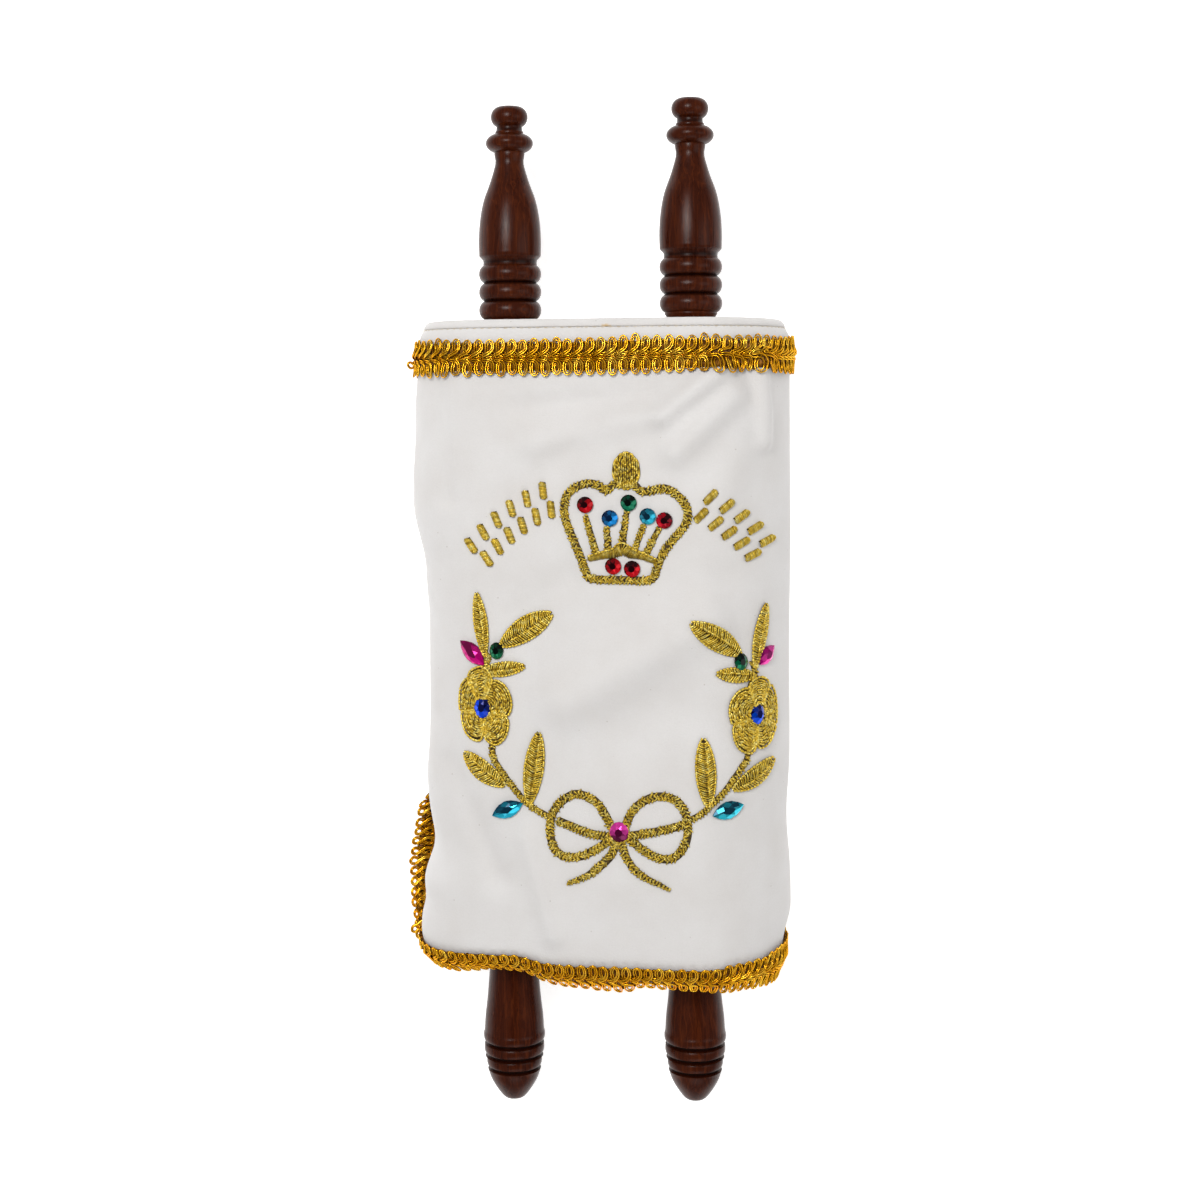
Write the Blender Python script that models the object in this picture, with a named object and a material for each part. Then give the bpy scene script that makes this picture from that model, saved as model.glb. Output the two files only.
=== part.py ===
"""Small Torah scroll in an embroidered mantle, lying on its back.

Two turned wooden rollers carry one paper scroll.  A white cloth mantle, closed by
an oval top and trimmed with gold gimp braid, covers the paper and leaves the
handles bare.  +Z is the embroidered front, +Y runs to the long handles and +X to
the right.  The floor is at z = 0.  Every named size below is in millimetres.
"""
import math

import bmesh
import bpy
import numpy as np
from mathutils import Vector
from mathutils.bvhtree import BVHTree
from mathutils.geometry import delaunay_2d_cdt

MM = 0.001
GAP = 0.3

# Rollers: axis places, ends, and the bare shaft under the paper
AXIS_X = (-34.0, 34.6)
TOP_END_Y = (188.0, 190.0)
LOWER_END_Y = (-189.2, -188.2)
SHAFT_RADIUS = 8.5
ROLLER_SIDES = 14

# Mantle: outer radius of the cloth over each roll, and its height above the floor
CLOTH_RADIUS = (31.3, 37.0)
BACK_HEIGHT = 2.0
CLOTH_THICKNESS = 1.2
MANTLE_TOP_Y = 105.8
TOP_PANEL = 3.2
SHOULDER_Y = 98.7
SHOULDER_DROP = 2.6

# Paper: it clears the cloth by a little, and ends short of the hem
PAPER_CLEARANCE = 2.8
PAPER_TOP_Y = 97.0
PAPER_LOWER_Y = -118.0
SHEET_THICKNESS = 0.9

# Hem: how deep it curls in at the left, and the slit in the lower left side
HEM_Y = -136.0
HEM_CURL = 12.0
HEM_BRAID_SHARE = 0.45
SLIT_TOP_Y = -71.0
SLIT_WRAP = math.radians(60.6)
FLARE = 0.66

# Gimp braid
BRAID_WIDTH = 13.9
BRAID_EDGE = 1.0
BRAID_THICKNESS = 1.7
SLIT_LIFT = 0.8

# Embroidery: padded satin and stitched bands
BAND_WIDTH = 3.4
EDGE_LIFT = 0.7
CREST_LIFT = 1.3
STONE_SEAT = 0.55

AXIS_Z = tuple(BACK_HEIGHT + radius for radius in CLOTH_RADIUS)
FRONT_TILT = 2 * math.atan((AXIS_Z[1] - AXIS_Z[0]) / (AXIS_X[1] - AXIS_X[0]))
PAPER_RADIUS = tuple(r - CLOTH_THICKNESS - PAPER_CLEARANCE for r in CLOTH_RADIUS)


# ---------------------------------------------------------------- scene helpers

def clear_scene():
    for old in list(bpy.data.objects):
        bpy.data.objects.remove(old, do_unlink=True)


def material(name, colour, roughness, metallic=0.0):
    """A Principled material in one sRGB colour, given as a hex number."""
    made = bpy.data.materials.new(name)
    made.use_nodes = True
    shader = made.node_tree.nodes["Principled BSDF"]
    rgb = [((colour >> shift) & 255) / 255 for shift in (16, 8, 0)]
    linear = [c / 12.92 if c <= 0.04045 else ((c + 0.055) / 1.055) ** 2.4 for c in rgb]
    shader.inputs["Base Color"].default_value = (*linear, 1.0)
    shader.inputs["Roughness"].default_value = roughness
    shader.inputs["Metallic"].default_value = metallic
    return made


def add_object(name, bm, surface, parent, crease=35.0):
    """Turn a bmesh in millimetres into a named, smooth-shaded object."""
    bmesh.ops.recalc_face_normals(bm, faces=bm.faces)
    bmesh.ops.scale(bm, vec=(MM, MM, MM), verts=bm.verts)
    mesh = bpy.data.meshes.new(name)
    bm.to_mesh(mesh)
    bm.free()
    mesh.shade_smooth()
    mesh.set_sharp_from_angle(angle=math.radians(crease))
    mesh.materials.append(surface)
    made = bpy.data.objects.new(name, mesh)
    bpy.context.scene.collection.objects.link(made)
    made.parent = parent
    return made


def smoothstep(value, low, high):
    share = min(1.0, max(0.0, (value - low) / (high - low)))
    return share * share * (3 - 2 * share)


def smooth_curve(points, step, closed=False):
    """Catmull-Rom curve through the points, about one point per step."""
    knots = [Vector(p) for p in points]
    count = len(knots)
    spans = count if closed else count - 1
    curve = []
    for i in range(spans):
        if closed:
            a, b, c, d = (knots[(i + k) % count] for k in (-1, 0, 1, 2))
        else:
            b, c = knots[i], knots[i + 1]
            a = knots[i - 1] if i else b + (b - c)
            d = knots[i + 2] if i + 2 < count else c + (c - b)
        pieces = max(1, round((c - b).length / step))
        for k in range(pieces):
            t = k / pieces
            curve.append(0.5 * (2 * b + (c - a) * t + (2 * a - 5 * b + 4 * c - d) * t ** 2
                                + (3 * b - a - 3 * c + d) * t ** 3))
    if not closed:
        curve.append(knots[-1])
    return curve


# ---------------------------------------------------------------- turned rollers

def swelling(start, end, foot, crest, steps):
    """A turned bead: half an ellipse standing on the radius foot."""
    middle, half = (start + end) / 2, (end - start) / 2
    turns = [math.pi * k / steps for k in range(steps + 1)]
    return [(middle - half * math.cos(t), foot + (crest - foot) * math.sin(t)) for t in turns]


def upper_handle():
    """Distance from the upper end and radius, down to the shaft."""
    knob = swelling(0.4, 7.6, 4.95, 7.05, 5)
    collar = [(10.8, 6.9), (12.0, 8.4), (14.0, 8.98), (16.2, 8.4)]
    neck_and_belly = [(21.7, 5.45), (28.5, 7.3), (36.1, 10.0), (43.7, 11.4), (51.0, 11.82)]
    belly = [tuple(p) for p in smooth_curve([(18.6, 6.1)] + neck_and_belly, 8.0)]
    belly += [(57.0, 11.75), (58.6, 10.25), (60.3, 10.25)]
    beads = []
    for start in (60.6, 67.5, 74.4):
        beads += swelling(start, start + 6.4, 10.2, 11.8, 3)
    return [(0.0, 0.0), (0.0, 3.4)] + knob + [(9.6, 4.95)] + collar + belly + beads


def lower_handle():
    """Distance from the lower end and radius, up to the shaft."""
    dome = [(0.0, 0.0), (0.0, 3.8), (1.6, 5.9), (4.4, 7.85), (7.6, 9.2)]
    grooves = []
    for start, radius in ((11.3, 10.2), (16.2, 11.05), (21.0, 11.3)):
        grooves += [(start, radius), (start + 0.7, radius - 0.9), (start + 1.4, radius + 0.1)]
    taper = [(26.0, 11.3), (31.5, 10.9), (38.8, 10.05), (50.0, 9.2), (68.0, SHAFT_RADIUS)]
    return dome + grooves + taper


def roller(name, side, surface, parent):
    """One turned stick: handle, shaft and lower handle are a single piece of wood."""
    top, low = TOP_END_Y[side], LOWER_END_Y[side]
    profile = [(top - s, r) for s, r in upper_handle()]
    profile.append((SHOULDER_Y + 0.5, SHAFT_RADIUS))
    profile += [(low + s, r) for s, r in reversed(lower_handle())]
    bm = bmesh.new()
    centre = Vector((AXIS_X[side], 0.0, AXIS_Z[side]))
    verts = [bm.verts.new(centre + Vector((r, y, 0.0))) for y, r in profile]
    edges = [bm.edges.new(pair) for pair in zip(verts, verts[1:])]
    bmesh.ops.spin(bm, geom=verts + edges, cent=centre, axis=(0, 1, 0),
                   angle=math.tau, steps=ROLLER_SIDES, use_duplicate=False)
    bmesh.ops.remove_doubles(bm, verts=bm.verts, dist=0.001)
    return add_object(name, bm, surface, parent)


# ---------------------------------------------------------------- paper scroll

def circle(centre, radius, sides):
    """Corners of a regular polygon, anticlockwise."""
    turns = [math.tau * k / sides for k in range(sides)]
    return [(centre[0] + radius * math.cos(t), centre[1] + radius * math.sin(t)) for t in turns]


def flat_union(shapes, holes=()):
    """Triangles of the union of flat polygons less the holes, as a bmesh in z = 0."""
    corners, faces = [], []
    for shape in list(shapes) + list(holes):
        faces.append(list(range(len(corners), len(corners) + len(shape))))
        corners += [Vector(p) for p in shape]
    points, _, triangles, _, _, sources = delaunay_2d_cdt(corners, [], faces, 1, 0.02)
    first_hole = len(shapes)
    bm = bmesh.new()
    verts = [bm.verts.new((p[0], p[1], 0.0)) for p in points]
    for triangle, source in zip(triangles, sources):
        if source and max(source) < first_hole:
            bm.faces.new([verts[i] for i in triangle])
    loose = [v for v in bm.verts if not v.link_faces]
    bmesh.ops.delete(bm, geom=loose, context="VERTS")
    return bm


def paper_scroll(name, surface, parent):
    """Both rolls and the sheet between them are one paper, pierced by the shafts."""
    rolls = [circle((x, z), r, 30) for x, z, r in zip(AXIS_X, AXIS_Z, PAPER_RADIUS)]
    across = Vector((AXIS_X[1] - AXIS_X[0], AXIS_Z[1] - AXIS_Z[0]))
    lean = math.atan2(across.y, across.x) + math.asin((PAPER_RADIUS[1] - PAPER_RADIUS[0]) / across.length)
    out = Vector((-math.sin(lean), math.cos(lean)))
    ends = [Vector((x, z)) + out * (r - 0.3) for x, z, r in zip(AXIS_X, AXIS_Z, PAPER_RADIUS)]
    sheet = [ends[0], ends[0] - out * SHEET_THICKNESS, ends[1] - out * SHEET_THICKNESS, ends[1]]
    bores = [circle((x, z), SHAFT_RADIUS + GAP, ROLLER_SIDES) for x, z in zip(AXIS_X, AXIS_Z)]
    bm = flat_union(rolls + [sheet], bores)
    for v in bm.verts:
        v.co = (v.co.x, PAPER_LOWER_Y, v.co.y)
    grown = bmesh.ops.extrude_face_region(bm, geom=bm.faces[:], use_keep_orig=True)
    moved = [g for g in grown["geom"] if isinstance(g, bmesh.types.BMVert)]
    bmesh.ops.translate(bm, vec=(0, PAPER_TOP_Y - PAPER_LOWER_Y, 0), verts=moved)
    return add_object(name, bm, surface, parent)


# ---------------------------------------------------------------- mantle surface

# The cloth hangs as a taut hull round both rolls.  A station on it is a side (0 left,
# 1 right) or a share of the way between sides, with the outward angle of the cloth
# there.  Stations start at the back edge of the slit and go round by the back, the
# right side, the front and the left side to the front edge of the slit.

BACK = math.radians(270)
FRONT = math.radians(90) + FRONT_TILT
SLIT = BACK - SLIT_WRAP
ARC_STEP = math.radians(18)
FRONT_STEPS = 7
BACK_STEPS = 3


def arc_stations(side, start, end):
    count = max(2, round((end - start) / ARC_STEP))
    return [(side, start + (end - start) * k / count) for k in range(count + 1)]


def stations():
    """Places round the mantle as (share across, outward angle)."""
    back = [(k / BACK_STEPS, BACK) for k in range(1, BACK_STEPS)]
    front = [(1 - k / FRONT_STEPS, FRONT) for k in range(1, FRONT_STEPS)]
    return (arc_stations(0.0, SLIT, BACK) + back + arc_stations(1.0, BACK, FRONT + math.tau)
            + front + arc_stations(0.0, FRONT, SLIT))


STATIONS = stations()
FLAP_STATIONS = len(arc_stations(0.0, SLIT, BACK))


def ridge(x, y, start, end, width, height):
    """Height of one soft fold that runs from start to end."""
    along = Vector(end) - Vector(start)
    offset = Vector((x, y)) - Vector(start)
    share = min(1.0, max(0.0, offset.dot(along) / along.length_squared))
    away = (offset - along * share).length / width
    return height * math.exp(-away * away)


def front_folds(x, y):
    """Soft folds of the embroidered face."""
    return (ridge(x, y, (34, 9), (-5, -12), 9, 1.2)
            + ridge(x, y, (31, 77), (33, 58), 8, -1.0)
            + ridge(x, y, (58, 84), (52, 46), 6, 1.2)
            + ridge(x, y, (-53, 83), (-60, 24), 6, 1.6)
            + ridge(x, y, (-32, -90), (-20, -122), 8, 1.3)
            + ridge(x, y, (-47, -84), (-44, -70), 7, -0.8))


def ease(x, y, angle):
    """How far the cloth stands off the taut hull."""
    left = max(0.0, -math.cos(angle)) ** 2
    right = max(0.0, math.cos(angle)) ** 2
    front = max(0.0, math.sin(angle))
    upper = 5.8 * (0.22 * smoothstep(y, -8, 14) + 0.78 * smoothstep(y, 12, 38))
    upper *= 1 - 0.15 * smoothstep(y, 46, 66) - 0.29 * smoothstep(y, 72, 98)
    lower = 3.6 * smoothstep(-y, 90, 112) + ridge(0, y, (0, -66), (0, -65), 11, 1.1)
    lower -= ridge(0, y, (0, -90), (0, -89), 8, 1.6) + ridge(0, y, (0, -112), (0, -111), 5, 1.6)
    slack = left * (upper + lower)
    slack -= right * (0.7 * smoothstep(-y, -30, 20) + 2.6 * smoothstep(-y, 113, 126))
    slack -= right * ridge(0, y, (0, -80), (0, -79), 14, 1.4)
    return slack + front * front_folds(x, y)


def hem_front(angle):
    """1 on the front and sides of the hem, 0 on the back that lies on the floor."""
    return smoothstep(math.sin(angle), -0.75, -0.2)


def hem_line(x, angle, share):
    """Distance along the scroll, a share of the way from the paper's end to the hem."""
    front = hem_front(angle)
    upper = HEM_Y + 12 - front * (3.6 - 2.5 * smoothstep(-x, 18, 32) + smoothstep(-x, 45, 64))
    upper += front * (1.4 * smoothstep(x, 38, 50) + 1.4 * smoothstep(x, 54, 66))
    lower = HEM_Y + front * (2.7 * smoothstep(-x, 20, 32) - 1.5 * smoothstep(-x, 40, 60))
    lower -= front * (3.5 * smoothstep(x, -40, -5) - 2.4 * smoothstep(x, 6, 14) + 1.2 * smoothstep(x, 36, 48))
    lower -= front * 1.6 * smoothstep(x, 56, 68)
    if share < HEM_BRAID_SHARE:
        return PAPER_LOWER_Y + (upper - PAPER_LOWER_Y) * share / HEM_BRAID_SHARE
    return upper + (lower - upper) * (share - HEM_BRAID_SHARE) / (1 - HEM_BRAID_SHARE)


def hem_depth(x, angle):
    """How far the lower edge curls in: deepest at the left front, none at the back."""
    depth = HEM_CURL - 7 * smoothstep(-x, 46, 66) - 5 * smoothstep(x, -10, 45)
    return hem_front(angle) * (depth - 3 * smoothstep(x, 50, 72))


def flare(y):
    """How far the cloth behind the slit has opened out."""
    open_by = SLIT_TOP_Y - y
    opened = 0.55 * smoothstep(open_by, 0, 12) + 0.45 * smoothstep(open_by, 6, 34)
    return FLARE * opened * (1 - 0.14 * smoothstep(-y, 110, 124))


def hull_point(share, angle):
    x = AXIS_X[0] + (AXIS_X[1] - AXIS_X[0]) * share
    z = AXIS_Z[0] + (AXIS_Z[1] - AXIS_Z[0]) * share
    radius = CLOTH_RADIUS[0] + (CLOTH_RADIUS[1] - CLOTH_RADIUS[0]) * share
    return x + radius * math.cos(angle), z + radius * math.sin(angle)


def flap_point(wrap, y, lift):
    """Cloth behind the slit, wrapped by this angle; it uncurls as the slit opens."""
    opening = 1 - flare(y)
    radius = CLOTH_RADIUS[0] / opening
    turn = BACK - wrap * opening
    slack = ease(AXIS_X[0], y, turn) + lift
    x = AXIS_X[0] + (radius + slack) * math.cos(turn)
    return Vector((x, y, BACK_HEIGHT + radius + (radius + slack) * math.sin(turn)))


def cloth_point(index, row, lift):
    """Point of the mantle at a station and a row, lift outside the cloth's face."""
    share, angle = STATIONS[index]
    x, z = hull_point(share, angle)
    y, hem_share = row
    if hem_share:
        y = hem_line(x, angle, hem_share)
    if index < FLAP_STATIONS and y < SLIT_TOP_Y:
        return flap_point(BACK - angle, y, lift)
    curl = max(0.0, (hem_share - 0.3) / 0.7)
    out = ease(x, y, angle) + lift - hem_depth(x, angle) * curl * curl
    out -= SHOULDER_DROP * smoothstep(y, SHOULDER_Y, MANTLE_TOP_Y)
    return Vector((x + out * math.cos(angle), y, z + out * math.sin(angle)))


# A row is a distance along the scroll and the share of the way from there to the hem
TOP_BRAID_LOW = SHOULDER_Y - BRAID_WIDTH
UPPER_ROWS = [(MANTLE_TOP_Y - TOP_PANEL - GAP, 0), (SHOULDER_Y, 0), (TOP_BRAID_LOW, 0)]
BODY_ROWS = [(y, 0) for y in (66, 46, 30, 14, -6, -28, -52)]
SLIT_ROWS = [(y, 0) for y in (SLIT_TOP_Y, -79, -89, -103, PAPER_LOWER_Y)]
HEM_ROWS = [(PAPER_LOWER_Y, share) for share in (0.25, HEM_BRAID_SHARE, 0.64, 0.82, 1.0)]
MANTLE_ROWS = UPPER_ROWS + BODY_ROWS + SLIT_ROWS + HEM_ROWS
HEM_BRAID_ROWS = HEM_ROWS[1:]


def cloth_grid(bm, rows, lift, closed_until):
    """Rows of vertices; rows down to closed_until share their first and last vertex."""
    last = len(STATIONS) - 1
    grid = []
    for row in rows:
        verts = [bm.verts.new(cloth_point(i, row, lift)) for i in range(last)]
        open_row = row[0] < closed_until
        verts.append(bm.verts.new(cloth_point(last, row, lift)) if open_row else verts[0])
        grid.append(verts)
    return grid


def skin(bm, first, second):
    """Faces between two rows of vertices."""
    for a, b, c, d in zip(first, first[1:], second[1:], second):
        bm.faces.new([a, b, c, d])


def mantle_body(name, surface, parent):
    """The cloth tube, open below, with the slit in its lower left side."""
    bm = bmesh.new()
    outer = cloth_grid(bm, MANTLE_ROWS, 0.0, SLIT_TOP_Y)
    inner = cloth_grid(bm, MANTLE_ROWS, -CLOTH_THICKNESS, SLIT_TOP_Y)
    for grid in (outer, inner):
        for upper, lower in zip(grid, grid[1:]):
            skin(bm, upper, lower)
    skin(bm, outer[0], inner[0])
    skin(bm, outer[-1], inner[-1])
    slit = [i for i, row in enumerate(MANTLE_ROWS) if row[0] <= SLIT_TOP_Y]
    for end in (0, -1):
        edge_out = [outer[i][end] for i in slit]
        edge_in = [inner[i][end] for i in slit]
        skin(bm, edge_out, edge_in)
    bmesh.ops.triangulate(bm, faces=bm.faces)
    return add_object(name, bm, surface, parent, 50.0)


def mantle_top(name, surface, parent):
    """Stiffened oval panel with a rolled edge, pierced where the handles leave it."""
    bm = bmesh.new()
    low = MANTLE_TOP_Y - TOP_PANEL
    levels = ((low, 0.0), (MANTLE_TOP_Y - 1.3, 0.0), (MANTLE_TOP_Y, -1.8))
    rings = []
    for y, lift in levels:
        points = [cloth_point(i, (y, 0), lift) for i in range(len(STATIONS) - 1)]
        rings.append([bm.verts.new((p.x, y, p.z)) for p in points])
    for lower, upper in zip(rings, rings[1:]):
        skin(bm, lower + lower[:1], upper + upper[:1])
    for side in (0, 1):
        holes = []
        for y in (low, MANTLE_TOP_Y):
            corners = circle((AXIS_X[side], AXIS_Z[side]), SHAFT_RADIUS + 2.0, ROLLER_SIDES)
            holes.append([bm.verts.new((x, y, z)) for x, z in corners])
        skin(bm, holes[0] + holes[0][:1], holes[1] + holes[1][:1])
        rings += holes
    for y in (low, MANTLE_TOP_Y):
        level = [v for v in bm.verts if abs(v.co.y - y) < 0.001]
        rim = [e for e in bm.edges if all(v in level for v in e.verts)]
        bmesh.ops.triangle_fill(bm, use_beauty=True, edges=rim, normal=(0, 1, 0))
    return add_object(name, bm, surface, parent)


# ---------------------------------------------------------------- gimp braid

def strip(bm, outer, inner):
    """Close two grids of vertices, one above the other, into one flat strip."""
    for grid in (outer, inner):
        for a, b in zip(grid, grid[1:]):
            skin(bm, a, b)
    skin(bm, outer[0], inner[0])
    skin(bm, outer[-1], inner[-1])
    for end in (0, -1):
        skin(bm, [row[end] for row in outer], [row[end] for row in inner])
    bmesh.ops.triangulate(bm, faces=bm.faces)


def braid_top(name, surface, parent):
    """Closed band of braid under the mantle's shoulder, thickest along its middle."""
    bm = bmesh.new()
    section = ((0.0, 0.0), (0.0, BRAID_EDGE), (0.36, BRAID_THICKNESS), (0.64, BRAID_THICKNESS),
               (1.0, BRAID_EDGE), (1.0, 0.0))
    loops = []
    for share, thickness in section:
        loop = []
        for i in range(len(STATIONS) - 1):
            upper = cloth_point(i, (SHOULDER_Y, 0), GAP + thickness)
            lower = cloth_point(i, (TOP_BRAID_LOW, 0), GAP + thickness)
            loop.append(bm.verts.new(upper.lerp(lower, share)))
        loops.append(loop)
    for a, b in zip(loops, loops[1:] + loops[:1]):
        skin(bm, a + a[:1], b + b[:1])
    return add_object(name, bm, surface, parent)


def braid_hem(name, surface, parent):
    """Band of braid sewn round the hem; it starts and ends at the slit."""
    bm = bmesh.new()
    places = range(1, len(STATIONS))
    section = (BRAID_EDGE, BRAID_THICKNESS, BRAID_THICKNESS, BRAID_EDGE)
    outer, inner = [], []
    for row, thickness in zip(HEM_BRAID_ROWS, section):
        outer.append([bm.verts.new(cloth_point(i, row, GAP + thickness)) for i in places])
        inner.append([bm.verts.new(cloth_point(i, row, GAP)) for i in places])
    strip(bm, outer, inner)
    return add_object(name, bm, surface, parent)


def braid_slit(name, surface, parent):
    """Braid on the edge of the cloth behind the slit; most of it stands free."""
    bm = bmesh.new()
    rows = [SLIT_TOP_Y - 2.5] + [y for y, _ in SLIT_ROWS[1:]] + [-126.0, HEM_Y + 0.5]
    wraps = [SLIT_WRAP + reach / CLOTH_RADIUS[0] for reach in (-4.0, 1.0, 5.0, 9.6)]
    outer, inner = [], []
    for y in rows:
        outer.append([bm.verts.new(flap_point(w, y, SLIT_LIFT + BRAID_THICKNESS)) for w in wraps])
        inner.append([bm.verts.new(flap_point(w, y, SLIT_LIFT)) for w in wraps])
    strip(bm, outer, inner)
    return add_object(name, bm, surface, parent)


# ---------------------------------------------------------------- embroidery

def band(points, width, step, closed=False, end_width=None):
    """Quads along a smooth line; the width may taper to end_width."""
    line = smooth_curve(points, step, closed)
    last = len(line) - 1
    sides = []
    for i, p in enumerate(line):
        ahead = line[(i + 1) % len(line)] if closed else line[min(i + 1, last)]
        behind = line[i - 1] if closed or i else line[0]
        along = (ahead - behind).normalized()
        wide = width if end_width is None else width + (end_width - width) * i / last
        across = Vector((-along.y, along.x)) * (wide / 2)
        sides.append((p + across, p - across))
    pairs = list(zip(sides, sides[1:] + sides[:1])) if closed else list(zip(sides, sides[1:]))
    return [[a[0], a[1], b[1], b[0]] for a, b in pairs]


def leaf(base, tip, width, bend, steps=5):
    """Two halves of a leaf, meeting on a midrib that bends sideways a little."""
    base, tip = Vector(base), Vector(tip)
    along = tip - base
    across = Vector((-along.y, along.x)).normalized()
    shares = [k / steps for k in range(steps + 1)]
    rib = [base + along * s + across * bend * math.sin(math.pi * s) for s in shares]
    halves = []
    for side in (1, -1):
        out = [side * width / 2 * math.sin(math.pi * s ** 1.05) ** 0.62 for s in shares[1:-1]]
        edge = [p + across * o for p, o in zip(rib[1:-1], out)]
        halves.append(rib + edge[::-1])
    return halves


def fan_petal(heart, rim):
    """Petal spread from the flower's heart; its rim is given by headings and reaches."""
    knots = []
    for heading, reach in rim:
        turn = math.radians(heading)
        knots.append(Vector(heart) + Vector((math.cos(turn), math.sin(turn))) * reach)
    return [Vector(heart)] + smooth_curve(knots, 5.0)


def egg(centre, width, length, sides):
    """Egg shape, narrower above."""
    shape = []
    for k in range(sides):
        turn = math.tau * k / sides
        reach = width / 2 * (1 - 0.38 * max(0.0, math.sin(turn)))
        shape.append((centre[0] + reach * math.cos(turn), centre[1] + length / 2 * math.sin(turn)))
    return shape


# The crown's outline starts at its top and runs anticlockwise.  A ray has a width at its foot
CROWN_OUTLINE = ((8.2, 45.4), (4.8, 45.6), (2.2, 43.2), (-0.8, 45.2), (-4.6, 45.9), (-9.2, 44.3), (-12.4, 41.0),
                 (-13.2, 36.3), (-12.3, 31.5), (-8.4, 21.8), (-5.5, 14.2), (-3.8, 11.5), (6.8, 11.1), (17.5, 11.2),
                 (19.5, 13.9), (21.8, 19.7), (24.9, 24.6), (29.0, 29.4), (31.0, 33.0), (31.0, 36.8), (29.0, 40.2),
                 (26.0, 42.9), (22.5, 44.2), (15.2, 43.0), (11.8, 45.7))
CROWN_RAYS = (((-1.6, 20.4), (-5.6, 34.3), 3.0), ((2.7, 22.0), (2.1, 30.4), 3.2), ((7.7, 24.6), (9.4, 36.0), 3.0),
              ((12.2, 22.2), (15.5, 31.0), 2.5), ((16.1, 20.4), (21.2, 30.4), 3.1))
HEADBAND = ((-4.4, 18.7), (0.6, 20.2), (7.4, 22.5), (13.4, 20.6), (19.8, 18.0))


def crown_shapes():
    """Lobed outline, five rays, a gabled headband, and an egg-shaped finial."""
    shapes = band(CROWN_OUTLINE, BAND_WIDTH, 6.0, closed=True)
    for start, end, width in CROWN_RAYS:
        shapes += band([start, end], width, 8.0, end_width=2.3)
    shapes += band(HEADBAND[:3], 2.6, 6.0, end_width=5.2)
    shapes += band(HEADBAND[2:], 5.2, 6.0, end_width=2.6)
    return shapes + [egg((9.2, 51.0), 10.4, 12.8, 10)]


# Leaves: base, tip, width and sideways bend.  A petal's rim: headings from the flower's
# heart in degrees, and its reach there
LEFT_WREATH = {
    "leaves": (((-42.3, -17.5), (-45.3, 6.0), 4.7, 0.0), ((-36.9, -13.4), (-17.6, -1.3), 8.3, 0.3),
               ((-44.5, -23.0), (-27.7, -20.6), 5.0, 0.0), ((-35.3, -64.3), (-50.1, -52.7), 6.9, 0.8),
               ((-26.6, -71.2), (-22.8, -44.2), 6.9, 0.0)),
    "heart": (-43.3, -36.3),
    "petals": (((192, 7.6), (218, 9.4), (239, 11.4), (257, 12.2), (269, 10.9)),
               ((274, 10.4), (283, 12.9), (292, 14.1), (307, 13.4), (323, 11.7), (341, 9.4)),
               ((103, 10.9), (117, 12.3), (133, 11.3), (151, 9.6), (177, 8.5), (190, 7.8)),
               ((-16, 9.2), (4, 10.7), (26, 11.4), (47, 12.0), (66, 11.7), (81, 9.2)),
               ((119, 10.0), (110, 13.8), (99, 15.2), (88, 15.5), (78, 13.4), (70, 10.4))),
    "stem": ((-41.1, -16.4), (-42.0, -24.0), (-40.2, -48.0), (-39.4, -54.5), (-35.4, -60.7), (-31.7, -65.6),
             (-28.1, -69.6), (-24.4, -72.4), (-21.9, -73.9)),
}
RIGHT_WREATH = {
    "leaves": (((54.9, -21.5), (59.6, 1.9), 4.5, 0.0), ((50.0, -16.2), (31.8, -3.5), 8.0, -0.4),
               ((55.4, -24.0), (41.0, -22.3), 5.1, 0.0), ((46.6, -64.3), (62.4, -54.8), 6.7, -0.9),
               ((37.9, -70.4), (36.3, -45.3), 7.0, 0.0)),
    "heart": (56.0, -38.2),
    "petals": (((198, 9.2), (217, 11.4), (234, 13.2), (247, 14.0), (259, 14.0), (266, 11.6)),
               ((269, 11.4), (280, 12.4), (293, 11.5), (310, 9.6), (324, 8.2)),
               ((108, 10.2), (123, 11.7), (143, 11.6), (162, 11.1), (184, 10.3), (196, 9.3)),
               ((-35, 8.0), (-10, 7.3), (10, 7.3), (31, 8.2), (53, 10.3), (66, 11.2)),
               ((110, 9.2), (107, 11.6), (98, 13.2), (87, 13.9), (75, 13.0), (67, 10.4))),
    "stem": ((54.4, -18.5), (55.3, -25.0), (52.8, -51.0), (50.4, -56.3), (47.2, -60.5), (43.5, -65.2),
             (38.9, -69.5), (35.8, -72.3), (34.4, -73.0)),
}


def wreath_shapes(plan):
    """A stem with leaves on short twigs, and petals round a small disc."""
    shapes = band(plan["stem"], 2.5, 7.0) + [circle(plan["heart"], 3.6, 8)]
    for base, tip, width, bend in plan["leaves"]:
        shapes += leaf(base, tip, width, bend)
        joint = min(plan["stem"], key=lambda knot: math.dist(knot, base))
        along = (Vector(tip) - Vector(base)).normalized() * 2.5
        shapes += band([joint, Vector(base) + along], 2.0, 8.0)
    return shapes + [fan_petal(plan["heart"], rim) for rim in plan["petals"]]


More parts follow.
